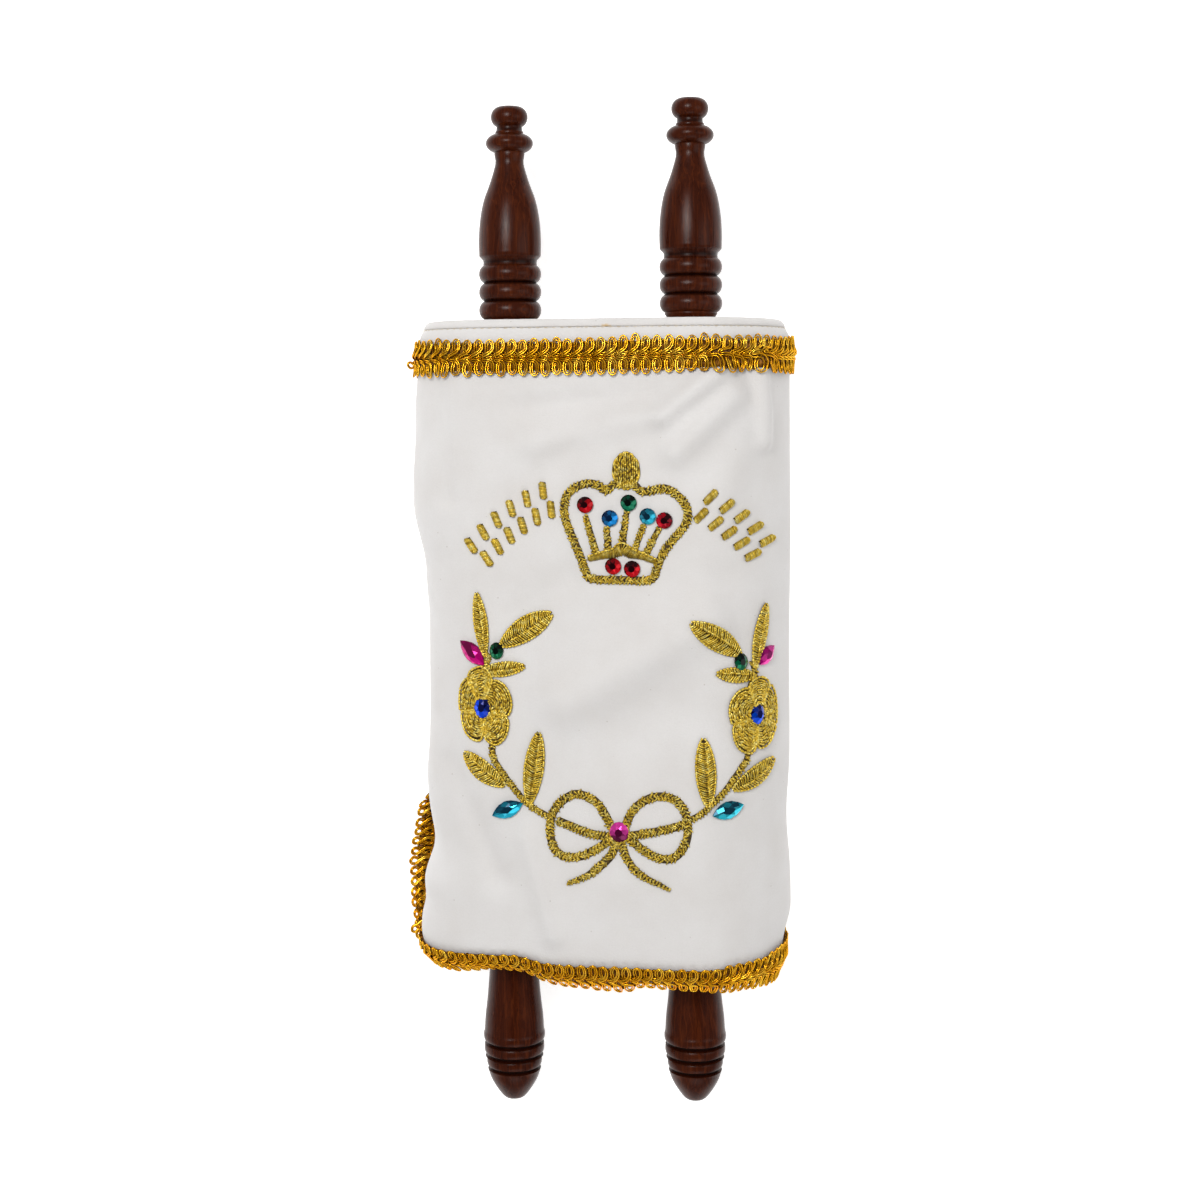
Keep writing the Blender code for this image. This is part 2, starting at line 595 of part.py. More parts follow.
# The bow: two ribbon ends, two tails and two loops
BOW_KNOT = (6.1, -81.0)
BOW = (((-16.3, -76.3), (-11.0, -78.3), (-4.5, -80.6), (3.5, -81.9)),
       ((29.3, -76.3), (23.5, -78.2), (17.0, -79.7), (9.0, -81.2)),
       ((5.4, -83.2), (2.7, -88.7), (-1.0, -92.4), (-5.3, -95.8), (-9.7, -97.8), (-12.6, -98.9)),
       ((6.8, -83.0), (8.8, -89.5), (12.0, -93.7), (16.2, -96.4), (20.5, -98.2), (23.9, -99.9)),
       ((4.4, -80.5), (3.1, -77.8), (0.6, -72.9), (-3.0, -68.6), (-9.3, -66.5), (-14.6, -69.3), (-18.2, -74.2),
        (-19.0, -80.4), (-17.6, -86.2), (-14.2, -89.1), (-8.2, -89.1), (-2.4, -86.3), (3.6, -82.2)),
       ((7.8, -80.0), (8.6, -76.6), (11.4, -71.4), (16.2, -67.7), (21.5, -66.5), (27.0, -68.2), (29.9, -73.0),
        (30.6, -78.7), (29.5, -83.7), (26.3, -87.9), (22.0, -89.0), (16.3, -87.1), (8.8, -81.6)))


def bow_shapes():
    shapes = []
    for line in BOW:
        shapes += band(line, BAND_WIDTH, 7.0)
    return shapes + [circle(BOW_KNOT, 3.4, 10)]


def arc_strokes(first, last, count, radius):
    """Short slanted strokes set side by side along an arc above the crown's foot."""
    centre = Vector((7.0, -21.0))
    strokes = []
    for k in range(count):
        turn = math.radians(first + (last - first) * k / (count - 1))
        out = Vector((math.cos(turn), math.sin(turn)))
        slant = Vector((out.y, -out.x)) * 0.9
        middle = centre + out * radius
        strokes.append(band([middle - out * 2.8 - slant, middle + out * 2.8 + slant], 2.8, 7.0))
    return strokes


def cloth_below(trees, x, y):
    """Highest surface under a point, with the steepness of that surface."""
    best = None
    for tree in trees:
        hit, normal, _, _ = tree.ray_cast(Vector((x, y, 200.0)), Vector((0, 0, -1)))
        if hit and (best is None or hit.z > best[0]):
            best = (hit.z, max(0.5, abs(normal.z)))
    return best


def seat_heights(bm, trees):
    """Lowest height of each corner that keeps every flat facet clear of the cloth."""
    seats = {v: cloth_below(trees, v.co.x, v.co.y)[0] for v in bm.verts}
    steps = 4
    shares = [(i / steps, j / steps) for i in range(steps + 1) for j in range(steps + 1 - i)]
    for _ in range(3):
        for face in bm.faces:
            a, b, c = face.verts
            deepest = 0.0
            for s, t in shares:
                p = a.co * (1 - s - t) + b.co * s + c.co * t
                facet = seats[a] * (1 - s - t) + seats[b] * s + seats[c] * t
                deepest = max(deepest, cloth_below(trees, p.x, p.y)[0] - facet)
            for v in face.verts:
                seats[v] += deepest
    return seats


def drape(bm, trees):
    """Stand a flat shape on the cloth: thin at its edges, raised inside."""
    bmesh.ops.remove_doubles(bm, verts=bm.verts, dist=0.05)
    seats = seat_heights(bm, trees)
    rim = {v for e in bm.edges if e.is_boundary for v in e.verts}
    lower = bm.verts[:]
    lifts = {v: EDGE_LIFT if v in rim else CREST_LIFT for v in lower}
    upper = {v: bm.verts.new(v.co) for v in lower}
    faces = bm.faces[:]
    walls = [e for e in bm.edges if e.is_boundary]
    for face in faces:
        bm.faces.new([upper[v] for v in face.verts])
    for edge in walls:
        a, b = edge.verts
        bm.faces.new([a, b, upper[b], upper[a]])
    for v in lower:
        slope = cloth_below(trees, v.co.x, v.co.y)[1]
        upper[v].co.z = seats[v] + (GAP + lifts[v]) / slope
        v.co.z = seats[v] + GAP / slope
    bmesh.ops.triangulate(bm, faces=bm.faces)


def embroidery(name, shapes, trees, surface, parent):
    bm = flat_union(shapes)
    drape(bm, trees)
    return add_object(name, bm, surface, parent, 30.0)


# ---------------------------------------------------------------- glued stones

def stone_outline(length, width, sides):
    """Round stones have equal sides; a longer one is pointed at both ends."""
    if length == width:
        return circle((0, 0), length / 2, sides)
    half = []
    for k in range(sides // 2):
        share = k / (sides // 2)
        half.append((length * (0.5 - share), width / 2 * math.sin(math.pi * share)))
    return half + [(-x, -y) for x, y in half]


def stone(name, place, size, turn, trees, surface, parent, sides=8):
    """Flat-backed faceted stone: girdle, sloping crown facets, and a flat table."""
    length, width = size
    outline = stone_outline(length, width, sides)
    turned = [Vector((x, y)) for x, y in outline]
    heading = math.radians(turn)
    for v in turned:
        v[:] = (v.x * math.cos(heading) - v.y * math.sin(heading),
                v.x * math.sin(heading) + v.y * math.cos(heading))
    centre = Vector(place)
    slope_x = cloth_below(trees[:1], centre.x + 2, centre.y)[0]
    slope_x = (slope_x - cloth_below(trees[:1], centre.x - 2, centre.y)[0]) / 4
    slope_y = cloth_below(trees[:1], centre.x, centre.y + 2)[0]
    slope_y = (slope_y - cloth_below(trees[:1], centre.x, centre.y - 2)[0]) / 4
    seat = -1000.0
    sides_of_girdle = list(zip(turned, turned[1:] + turned[:1]))
    probes = [a.lerp(b, k / 6) for a, b in sides_of_girdle for k in range(6)]
    for share in (0.0, 0.25, 0.5, 0.75, 0.9, 1.0):
        for v in probes:
            p = centre + v * share * 1.02
            height = cloth_below(trees, p.x, p.y)[0]
            seat = max(seat, height - slope_x * v.x * share - slope_y * v.y * share)
    levels = ((1.0, 0.0), (1.0, 0.5), (0.6, 1.6))
    bm = bmesh.new()
    rings = []
    for share, rise in levels:
        ring = []
        for v in turned:
            p = centre + v * share
            height = seat + STONE_SEAT + rise + (slope_x * v.x + slope_y * v.y) * share
            ring.append(bm.verts.new((p.x, p.y, height)))
        rings.append(ring)
    for a, b in zip(rings, rings[1:]):
        skin(bm, a + a[:1], b + b[:1])
    bm.faces.new(rings[0])
    bm.faces.new(rings[-1])
    return add_object(name, bm, surface, parent, 10.0)


STONES = {
    "ruby": [("crown_left", (-5.5, 38.0)), ("crown_right", (22.9, 32.6)),
             ("headband_left", (4.5, 15.9)), ("headband_right", (11.3, 15.0))],
    "azure": [("crown_left", (3.4, 33.2)), ("crown_right", (17.0, 34.0))],
    "emerald": [("crown", (10.2, 38.8)), ("leaf_left", (-37.9, -15.5)), ("leaf_right", (49.9, -18.9))],
    "sapphire": [("flower_left", (-43.3, -36.3)), ("flower_right", (55.9, -38.2))],
    "magenta": [("bow", (6.1, -79.8)), ("leaf_left", (-47.1, -16.6)), ("leaf_right", (59.5, -17.2))],
    "aqua": [("leaf_left", (-34.4, -72.7)), ("leaf_right", (44.9, -71.4))],
}
ROUND_STONE = (6.0, 6.0)
LARGE_STONES = {"stone_sapphire_flower_left": ((7.0, 7.0), 0), "stone_sapphire_flower_right": ((7.0, 7.0), 0),
                "stone_magenta_bow": ((7.1, 7.1), 0),
                "stone_magenta_leaf_left": ((11.2, 5.2), 143), "stone_magenta_leaf_right": ((9.8, 5.2), 40),
                "stone_aqua_leaf_left": ((12.4, 6.0), 23), "stone_aqua_leaf_right": ((12.4, 6.2), 16)}


# ---------------------------------------------------------------- assembly

def centre_on_origin(root, objects):
    """Slide everything so that the whole stands over the origin on z = 0."""
    corners = np.array([v.co for made in objects for v in made.data.vertices])
    low, high = corners.min(axis=0), corners.max(axis=0)
    root.location = (-(low[0] + high[0]) / 2, -(low[1] + high[1]) / 2, -low[2])


def bvh(made):
    bm = bmesh.new()
    bm.from_mesh(made.data)
    bmesh.ops.scale(bm, vec=(1 / MM, 1 / MM, 1 / MM), verts=bm.verts)
    tree = BVHTree.FromBMesh(bm)
    bm.free()
    return tree


def build():
    clear_scene()
    root = bpy.data.objects.new("scroll_frame", None)
    bpy.context.scene.collection.objects.link(root)
    wood = material("stained_hardwood", 0x4A2219, 0.3)
    cloth = material("white_plush_cloth", 0xE2DFDC, 0.9)
    paper = material("scroll_paper", 0xE6DCC2, 0.8)
    gimp = material("gold_gimp_braid", 0xC8941F, 0.4, 0.6)
    thread = material("gold_embroidery_thread", 0xB79D3E, 0.4, 0.6)
    stones = {"ruby": 0xA5061F, "azure": 0x1E9AC8, "emerald": 0x05523A,
              "sapphire": 0x1226B4, "magenta": 0xD2128C, "aqua": 0x35B8D2}

    made = [roller("roller_left", 0, wood, root), roller("roller_right", 1, wood, root),
            paper_scroll("paper_scroll", paper, root)]
    body = mantle_body("mantle_body", cloth, root)
    made += [body, mantle_top("mantle_top", cloth, root), braid_top("braid_top", gimp, root),
             braid_hem("braid_hem", gimp, root), braid_slit("braid_slit", gimp, root)]

    ground = [bvh(body)]
    sewn = [embroidery("crown", crown_shapes(), ground, thread, root),
            embroidery("wreath_left", wreath_shapes(LEFT_WREATH), ground, thread, root),
            embroidery("wreath_right", wreath_shapes(RIGHT_WREATH), ground, thread, root),
            embroidery("bow", bow_shapes(), ground, thread, root)]
    rows = (("left_upper", 141.0, 113.5, 6, 70.0), ("left_lower", 141.0, 113.5, 6, 62.6),
            ("right_upper", 62.5, 40.5, 5, 70.0), ("right_lower", 62.5, 40.5, 5, 62.6))
    for row, first, last, count, radius in rows:
        for k, shapes in enumerate(arc_strokes(first, last, count, radius)):
            sewn.append(embroidery(f"stroke_{row}_{k + 1}", shapes, ground, thread, root))

    seats = ground + [bvh(piece) for piece in sewn]
    for colour, places in STONES.items():
        surface = material(f"foiled_stone_{colour}", stones[colour], 0.1)
        for place, centre in places:
            name = f"stone_{colour}_{place}"
            size, turn = LARGE_STONES.get(name, (ROUND_STONE, 0))
            made.append(stone(name, centre, size, turn, seats, surface, root))
    centre_on_origin(root, made + sewn)


build()
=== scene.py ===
"""Small Torah scroll in an embroidered mantle: the finished look of every piece.

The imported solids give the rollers' axes, the ends and the cloth's height; the rest is
laid out in millimetres from them.  +Z is the embroidered front and +Y runs to the long
handles.
"""
import functools
import math

import bmesh
import bpy
import numpy as np
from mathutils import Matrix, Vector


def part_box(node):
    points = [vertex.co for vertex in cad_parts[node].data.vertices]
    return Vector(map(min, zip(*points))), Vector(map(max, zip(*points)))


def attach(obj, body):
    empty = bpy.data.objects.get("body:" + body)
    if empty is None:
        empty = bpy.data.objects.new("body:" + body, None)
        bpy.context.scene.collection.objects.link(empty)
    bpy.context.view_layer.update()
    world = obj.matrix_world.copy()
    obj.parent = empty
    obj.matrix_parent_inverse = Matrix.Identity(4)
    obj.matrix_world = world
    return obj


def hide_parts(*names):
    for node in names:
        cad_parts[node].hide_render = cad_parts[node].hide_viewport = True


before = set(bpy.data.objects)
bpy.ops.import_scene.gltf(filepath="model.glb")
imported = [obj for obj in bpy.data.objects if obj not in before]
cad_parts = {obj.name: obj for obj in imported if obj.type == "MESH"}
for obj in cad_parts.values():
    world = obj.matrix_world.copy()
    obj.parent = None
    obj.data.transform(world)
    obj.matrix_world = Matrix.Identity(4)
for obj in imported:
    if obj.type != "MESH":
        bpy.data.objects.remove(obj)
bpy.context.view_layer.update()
scene = bpy.context.scene

# ------------------------------------------------------------------ studio
# The scroll lies on a matt white sweep under large soft lamps, and the camera looks
# straight down.  Everything is laid out in millimetres from an origin a little left of
# the middle of the two rollers, 190 mm below the right one's upper end.

MM = 0.001


def box_mm(node):
    low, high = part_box(node)
    return np.array(low) / MM, np.array(high) / MM


roller_boxes = [box_mm("roller_left"), box_mm("roller_right")]
roller_middles = [(low + high) / 2 for low, high in roller_boxes]
ORIGIN = np.array([(roller_middles[0][0] + roller_middles[1][0]) / 2 - 0.3,
                   roller_boxes[1][1][1] - 190.0, 0.0])

CAMERA_Y = 76.0
CAMERA_HEIGHT = 735.0
camera_data = bpy.data.cameras.new("camera")
camera_data.sensor_width = 36.0
camera_data.lens = 55.2
camera_data.shift_y = -1 / 6
camera = bpy.data.objects.new("camera", camera_data)
camera.location = [c * MM for c in (ORIGIN[0], ORIGIN[1] + CAMERA_Y, CAMERA_HEIGHT)]
camera.rotation_euler = (0, 0, math.radians(-0.33))
scene.collection.objects.link(camera)
scene.camera = camera
scene.view_settings.view_transform = "Standard"


def linear(colour):
    """An sRGB hex colour as linear red, green, blue and alpha."""
    rgb = [((colour >> shift) & 255) / 255 for shift in (16, 8, 0)]
    return [c / 12.92 if c <= 0.04045 else ((c + 0.055) / 1.055) ** 2.4 for c in rgb] + [1.0]


def plug(node, sockets):
    """Fill a node's sockets: another node gives its first output, a hex colour turns linear."""
    for name, value in sockets.items():
        socket = node.inputs[name]
        if isinstance(value, bpy.types.Node):
            value = next(output for output in value.outputs if output.enabled)
        if isinstance(value, bpy.types.NodeSocket):
            node.id_data.links.new(value, socket)
        else:
            socket.default_value = linear(value) if socket.type == "RGBA" else value


def add_node(tree, kind, sockets=(), ramp=(), **settings):
    """Add a node: its own settings, what its sockets hold, its ramp's stops in order."""
    made = tree.nodes.new("ShaderNode" + kind)
    for name, value in settings.items():
        setattr(made, name, value)
    for place, colour in ramp[2:]:
        made.color_ramp.elements.new(place)
    for stop, (place, colour) in zip(made.color_ramp.elements if ramp else (), ramp):
        stop.position = place
        stop.color = linear(colour)
    plug(made, dict(sockets))
    return made


def start_material(name, **sockets):
    """A new material, what adds nodes to it, its Principled shader, and place in metres."""
    made = bpy.data.materials.new(name)
    made.use_nodes = True
    add = functools.partial(add_node, made.node_tree)
    shader = made.node_tree.nodes["Principled BSDF"]
    plug(shader, {socket.replace("_", " "): value for socket, value in sockets.items()})
    return made, add, shader, add("TexCoord").outputs["Object"]


def sweep_paper():
    """Matt white background paper, cloudy every 25 mm, lit through from below."""
    made, add, shader, place = start_material("background_paper", Roughness=0.9, Emission_Color=0xFFFFFF,
                                              Emission_Strength=0.68)
    grain = add("TexNoise", {"Vector": place, "Scale": 40.0, "Detail": 4.0})
    tone = add("ValToRGB", {"Fac": grain}, ramp=[(0.3, 0xF8F8F8), (0.7, 0xFCFCFC)])
    plug(shader, {"Base Color": tone})
    return made


FLOOR_HALF = 2500.0
floor_mesh = bpy.data.meshes.new("floor")
floor_mesh.from_pydata([(x * MM, y * MM, 0.0) for x, y in
                        ((-FLOOR_HALF, -FLOOR_HALF), (FLOOR_HALF, -FLOOR_HALF),
                         (FLOOR_HALF, FLOOR_HALF), (-FLOOR_HALF, FLOOR_HALF))], [], [(0, 1, 2, 3)])
floor_mesh.materials.append(sweep_paper())
floor = bpy.data.objects.new("floor", floor_mesh)
scene.collection.objects.link(floor)

# name, place in mm, size in mm, watts, colour
LAMPS = (("key", (-310.0, 440.0, 1220.0), (560.0, 560.0), 8.8, 0xFFFFFF),
         ("spark", (-190.0, 330.0, 820.0), (80.0, 80.0), 1.0, 0xFFFCF6),
         ("fill", (700.0, 100.0, 620.0), (420.0, 700.0), 1.1, 0xFFFDFA),
         ("foot", (60.0, -760.0, 560.0), (700.0, 360.0), 1.0, 0xFFFFFF))
for name, place, size, watts, tint in LAMPS:
    lamp_data = bpy.data.lights.new(name, "AREA")
    lamp_data.shape = "RECTANGLE"
    lamp_data.size, lamp_data.size_y = (side * MM for side in size)
    lamp_data.energy = watts
    lamp_data.color = linear(tint)[:3]
    lamp = bpy.data.objects.new(name, lamp_data)
    lamp.location = [c * MM for c in place]
    lamp.rotation_euler = (-lamp.location).to_track_quat("-Z", "Y").to_euler()
    scene.collection.objects.link(lamp)

# The room is white to the sides and dark right overhead, where the camera hangs
room = bpy.data.worlds.new("studio")
room.use_nodes = True
around = add_node(room.node_tree, "TexCoord").outputs["Generated"]
height = add_node(room.node_tree, "SeparateXYZ", {"Vector": around}).outputs["Z"]
ceiling = add_node(room.node_tree, "ValToRGB", {"Fac": height},
                   ramp=[(0.0, 0xFFFFFF), (0.86, 0xFFFFFF), (0.97, 0x303030), (1.0, 0x101010)])
plug(room.node_tree.nodes["Background"], {"Color": ceiling, "Strength": 0.31})
scene.world = room


# ------------------------------------------------------------------ turned rollers
# Two sticks of beech, turned on a lathe, stained to dark mahogany and lacquered.  The
# stain gathers in the pores; the grooves are painted darker as shade, the beads' crests not.

AXIS_X = [middle[0] - ORIGIN[0] for middle in roller_middles]
AXIS_Z = [middle[2] for middle in roller_middles]
TOP_END_Y = [high[1] - ORIGIN[1] for low, high in roller_boxes]
LOWER_END_Y = [low[1] - ORIGIN[1] for low, high in roller_boxes]
ROLLER_SIDES = 96
SHAFT_RADIUS = 8.5
# Painted shade darkens the wood where it lies this far under its neighbours, within this reach
SHADE_DEPTH = 1.3
SHADE_REACH = 2.6


class Work:
    """Gathers the parts of one piece: points in mm, faces, finishes, and two values at
    each point: its run along a thread (on a stone, the facet's painted share of light), and
    its crest, 0 in the crevices and 1 on top, from which the materials paint shade."""

    def __init__(self):
        self.points, self.faces, self.finishes, self.count = [], [], [], 0
        self.values = {"run": [], "crest": []}

    def add(self, points, faces, finish=0, run=0.0, crest=0.0):
        points = np.asarray(points, float)
        faces = np.asarray(faces, int)
        for name, value in (("run", run), ("crest", crest)):
            self.values[name].append(np.broadcast_to(value, points.shape[:-1]).ravel())
        self.points.append(points.reshape(-1, 3))
        self.faces.extend((faces + self.count).tolist())
        self.finishes.append(np.full(len(faces), finish))
        self.count += len(self.points[-1])

    def finish_piece(self, name, node, slot, *materials, crease=None):
        """Make the object for a CAD node, moved from the layout into the frame."""
        mesh = bpy.data.meshes.new(name)
        mesh.from_pydata(((np.concatenate(self.points) + ORIGIN) * MM).tolist(), [], self.faces)
        for material in materials:
            mesh.materials.append(material)
        mesh.polygons.foreach_set("material_index", np.concatenate(self.finishes).astype(np.int32))
        for value_name, values in self.values.items():
            attribute = mesh.attributes.new(value_name, "FLOAT", "POINT")
            attribute.data.foreach_set("value", np.concatenate(values).astype(np.float32))
        mesh.validate()
        mesh.shade_smooth()
        if crease:
            mesh.set_sharp_from_angle(angle=math.radians(crease))
        made = bpy.data.objects.new(name, mesh)
        scene.collection.objects.link(made)
        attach(made, "root")
        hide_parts(node)
        return made


def grid_faces(rows, columns, closed_rows=False, closed_columns=False):
    """Quads of a grid of points, numbered row by row."""
    i = np.arange(rows if closed_rows else rows - 1)[:, None]
    j = np.arange(columns if closed_columns else columns - 1)[None, :]
    below, beside = (i + 1) % rows, (j + 1) % columns
    quads = [i * columns + j, i * columns + beside, below * columns + beside, below * columns + j]
    return np.stack([np.broadcast_to(q, (i.size, j.size)) for q in quads], -1).reshape(-1, 4)


def bead(start, end, foot, crest, steps=12):
    """A turned bead: a rounded swell between a circle's and a sine's, on the radius foot."""
    turns = np.pi * np.arange(steps + 1) / steps
    middle, half = (start + end) / 2, (end - start) / 2
    along = 0.55 * np.cos(turns) + 0.45 * (1 - 2 * turns / np.pi)
    return [(middle - half * a, foot + (crest - foot) * math.sin(t)) for a, t in zip(along, turns)]


def between(a, b, c, d, t):
    """Catmull-Rom curve through four knots: its points from b to c, at shares t of the way."""
    return 0.5 * (2 * b + (c - a) * t + (2 * a - 5 * b + 4 * c - d) * t ** 2
                  + (3 * b - a - 3 * c + d) * t ** 3)


def smooth_curve(points, step, closed=False):
    """Catmull-Rom curve through the points, about one point per step."""
    knots = np.asarray(points, float)
    count = len(knots)
    if not closed:
        knots = np.vstack([2 * knots[0] - knots[1], knots, 2 * knots[-1] - knots[-2]])
    curve = []
    for i in range(count if closed else count - 1):
        a, b, c, d = (knots[(i + k) % count] for k in (-1, 0, 1, 2)) if closed else knots[i:i + 4]
        pieces = max(1, round(np.linalg.norm(c - b) / step))
        curve.append(between(a, b, c, d, (np.arange(pieces) / pieces)[:, None]))
    if not closed:
        curve.append(knots[-2:-1])
    return np.vstack(curve)


def upper_handle():
    """Distance from the upper end and radius, down to the shaft under the cloth."""
    knob = [(0.0, 0.01), (0.0, 3.6), (0.15, 4.4)] + bead(0.4, 7.6, 4.95, 7.05, 18)
    throat = [(7.85, 4.85), (9.2, 4.95), (9.6, 5.3), (9.9, 5.4), (10.3, 5.4)]
    collar = bead(10.5, 17.5, 5.7, 9.0, 18)
    neck = smooth_curve([(18.0, 5.8), (19.6, 5.55), (22.0, 5.45), (28.5, 7.3), (36.1, 10.0),
                         (43.7, 11.4), (51.0, 11.85), (57.0, 11.75)], 1.2)
    groove = [(57.35, 11.5), (58.3, 10.6), (58.6, 10.3), (59.6, 10.15), (60.4, 10.25)]
    beads = []
    for start in (60.6, 67.5, 74.4):
        beads += bead(start, start + 6.5, 10.2, 11.85, 14) + [(start + 6.7, 9.9)]
    shaft = [(81.6, 10.0), (84.0, SHAFT_RADIUS)]
    return knob + throat + collar + [tuple(p) for p in neck] + groove + beads + shaft


def lower_handle():
    """Distance from the lower end and radius, up to the shaft."""
    dome = [(0.0, 0.01), (0.0, 2.6), (0.2, 3.5), (0.7, 4.2), (1.8, 5.2), (3.6, 6.5), (5.2, 7.55),
            (6.6, 8.35), (8.2, 9.1), (9.8, 9.65), (11.0, 10.0)]
    rings = []
    for start, radius in ((11.1, 10.05), (16.0, 10.95), (20.8, 11.25)):
        rings += [(start, radius), (start + 0.15, radius - 0.9), (start + 0.5, radius - 1.5),
                  (start + 1.1, radius - 1.5), (start + 1.5, radius - 0.8), (start + 1.65, radius + 0.1)]
        rings += bead(start + 1.75, start + 4.7, radius + 0.15, radius + 0.42, 6)
    taper = smooth_curve([(26.2, 11.3), (31.5, 10.95), (38.8, 10.1), (50.0, 9.2), (60.0, 8.75),
                          (68.0, SHAFT_RADIUS)], 1.6)
    return dome + rings + [tuple(p) for p in taper]


def mahogany_stain():
    """Beech under a dark mahogany stain and gloss lacquer: fine pores, wavy figure."""
    made, add, shader, place = start_material("stained_beech", Specular_IOR_Level=0.11, Coat_Weight=0.03,
                                              Coat_Roughness=0.15)
    # Figure about 4 mm wide and 30 mm long; pores of 0.4 by 6 mm, coarser than real ones
    along = add("Mapping", {"Vector": place, "Scale": (1.0, 0.12, 1.0)})
    figure = add("TexNoise", {"Vector": along, "Scale": 260.0, "Detail": 6.0, "Roughness": 0.62,
                              "Distortion": 1.6})
    stain = add("ValToRGB", {"Fac": figure}, ramp=[(0.3, 0x310F04), (0.5, 0x3C1506), (0.7, 0x4C1F09)])
    pores = add("Mapping", {"Vector": place, "Scale": (1.0, 0.07, 1.0)})
    pore = add("TexNoise", {"Vector": pores, "Scale": 2400.0, "Detail": 2.0, "Distortion": 0.6})
    depth = add("MapRange", {"Value": pore, "From Min": 0.60, "From Max": 0.78})
    streak = add("TexWave", {"Vector": along, "Scale": 150.0, "Distortion": 14.0, "Detail": 3.0,
                             "Detail Scale": 1.4}, bands_direction="X")
    bright = add("MapRange", {"Value": streak.outputs["Fac"], "From Min": 0.90, "To Max": 0.10})
    glow = add("Mix", {"Factor": bright, "A": stain, "B": 0x96491E}, data_type="RGBA")
    dark = add("Mix", {"Factor": depth, "A": glow, "B": 0x1B0A07}, data_type="RGBA")
    # The grooves get painted shade, almost black where they lie deepest
    crest = add("Attribute", attribute_name="crest").outputs["Fac"]
    sunk = add("MapRange", {"Value": crest, "To Min": 0.85, "To Max": 0.0})
    shaded_stain = add("Mix", {"Factor": sunk, "A": dark, "B": 0x120503}, data_type="RGBA")
    bump = add("Bump", {"Height": pore, "Strength": 0.18, "Distance": 0.0002})
    rough = add("MapRange", {"Value": figure, "To Min": 0.22, "To Max": 0.36})
    plug(shader, {"Base Color": shaded_stain, "Roughness": rough, "Normal": bump})
    return made


def groove_depth(reach):
    """How far each turn of the profile lies below the nearest wood on both its sides."""
    near = np.abs(reach[:, None, 0] - reach[None, :, 0]) < SHADE_REACH
    above = reach[None, :, 0] >= reach[:, None, 0]
    below = ~above | np.eye(len(reach), dtype=bool)
    sides = [np.where(near & side, reach[None, :, 1], 0.0).max(1) for side in (above, below)]
    return np.minimum(*sides) - reach[:, 1]


def turned(side, reach, count):
    """Rings of points round one roller's axis, from pairs of distance along it and radius."""
    turns = math.tau * np.arange(count) / count
    return np.stack([AXIS_X[side] + reach[:, 1:] * np.cos(turns), reach[:, :1] + 0 * turns,
                     AXIS_Z[side] + reach[:, 1:] * np.sin(turns)], -1)


stained_beech = mahogany_stain()
for side, name in enumerate(("left", "right")):
    profile = [(TOP_END_Y[side] - s, r) for s, r in upper_handle()]
    profile += [(LOWER_END_Y[side] + s, r) for s, r in reversed(lower_handle())]
    reach = np.array(profile)
    stick = Work()
    # The crest value sets the painted shade in the grooves
    stick.add(turned(side, reach, ROLLER_SIDES), grid_faces(len(reach), ROLLER_SIDES, closed_columns=True),
              crest=1 - np.clip(groove_depth(reach)[:, None] / SHADE_DEPTH, 0, 1))
    stick.finish_piece(f"turned_roller_{name}", f"roller_{name}", "wood", stained_beech, crease=40)


# ------------------------------------------------------------------ paper scroll
# One long strip of cream paper, wound on both sticks.  Its turns show as fine rings at
# the ends, and a single sheet crosses from roll to roll at the front.

# The rings are drawn a few times as thick as real turns of paper, so that they show
TURN_SPACING = 0.85
PAPER_SIDES = 72
BORE_RADIUS = 8.8
paper_low, paper_high = (corner - ORIGIN for corner in box_mm("paper_scroll"))
PAPER_RADIUS = (AXIS_X[0] - paper_low[0], paper_high[0] - AXIS_X[1])
SHEET_THICKNESS = 0.9


def wound_paper():
    """Cream laid paper: fibres of about 1 mm, and faint clouds of 20 mm in its colour."""
    made, add, shader, place = start_material("cream_paper", Roughness=0.82)
    fibres = add("TexNoise", {"Vector": place, "Scale": 900.0, "Detail": 5.0})
    clouds = add("TexNoise", {"Vector": place, "Scale": 45.0, "Detail": 3.0})
    tone = add("ValToRGB", {"Fac": clouds}, ramp=[(0.3, 0xD9CCAE), (0.7, 0xE8DEC6)])
    bump = add("Bump", {"Height": fibres, "Strength": 0.25, "Distance": 0.0001})
    plug(shader, {"Base Color": tone, "Normal": bump})
    return made


def wound_end(end_y, inward, radius, draw):
    """Rings of the turns at one end of a roll, from the bore out: y and radius."""
    rings = [(end_y + inward * 1.0, BORE_RADIUS)]
    reach = BORE_RADIUS
    while reach + TURN_SPACING < radius:
        slip = inward * draw.uniform(0.0, 0.7)
        rings += [(end_y + slip + inward * 0.35, reach + 0.04), (end_y + slip, reach + 0.16),
                  (end_y + slip, reach + TURN_SPACING - 0.12)]
        reach += TURN_SPACING
    return rings + [(end_y + inward * 0.3, radius - 0.05), (end_y + inward * 0.5, radius)]


cream_paper = wound_paper()
paper = Work()
draw = np.random.default_rng(3)
for side in (0, 1):
    lower = wound_end(paper_low[1], 1, PAPER_RADIUS[side], draw)
    upper = wound_end(paper_high[1], -1, PAPER_RADIUS[side], draw)
    reach = np.array(lower + upper[::-1])
    paper.add(turned(side, reach, PAPER_SIDES),
              grid_faces(len(reach), PAPER_SIDES, closed_rows=True, closed_columns=True))
span = np.array([AXIS_X[1] - AXIS_X[0], AXIS_Z[1] - AXIS_Z[0]])
lean = math.atan2(span[1], span[0]) + math.asin((PAPER_RADIUS[1] - PAPER_RADIUS[0]) / np.hypot(*span))
rise = np.array([-math.sin(lean), math.cos(lean)])
corners = [np.array([AXIS_X[side], AXIS_Z[side]]) + rise * (PAPER_RADIUS[side] - depth)
           for side, depth in ((0, 0.1), (0, SHEET_THICKNESS), (1, SHEET_THICKNESS), (1, 0.1))]
sheet_ends = (paper_low[1] + 0.4, paper_high[1] - 0.4)
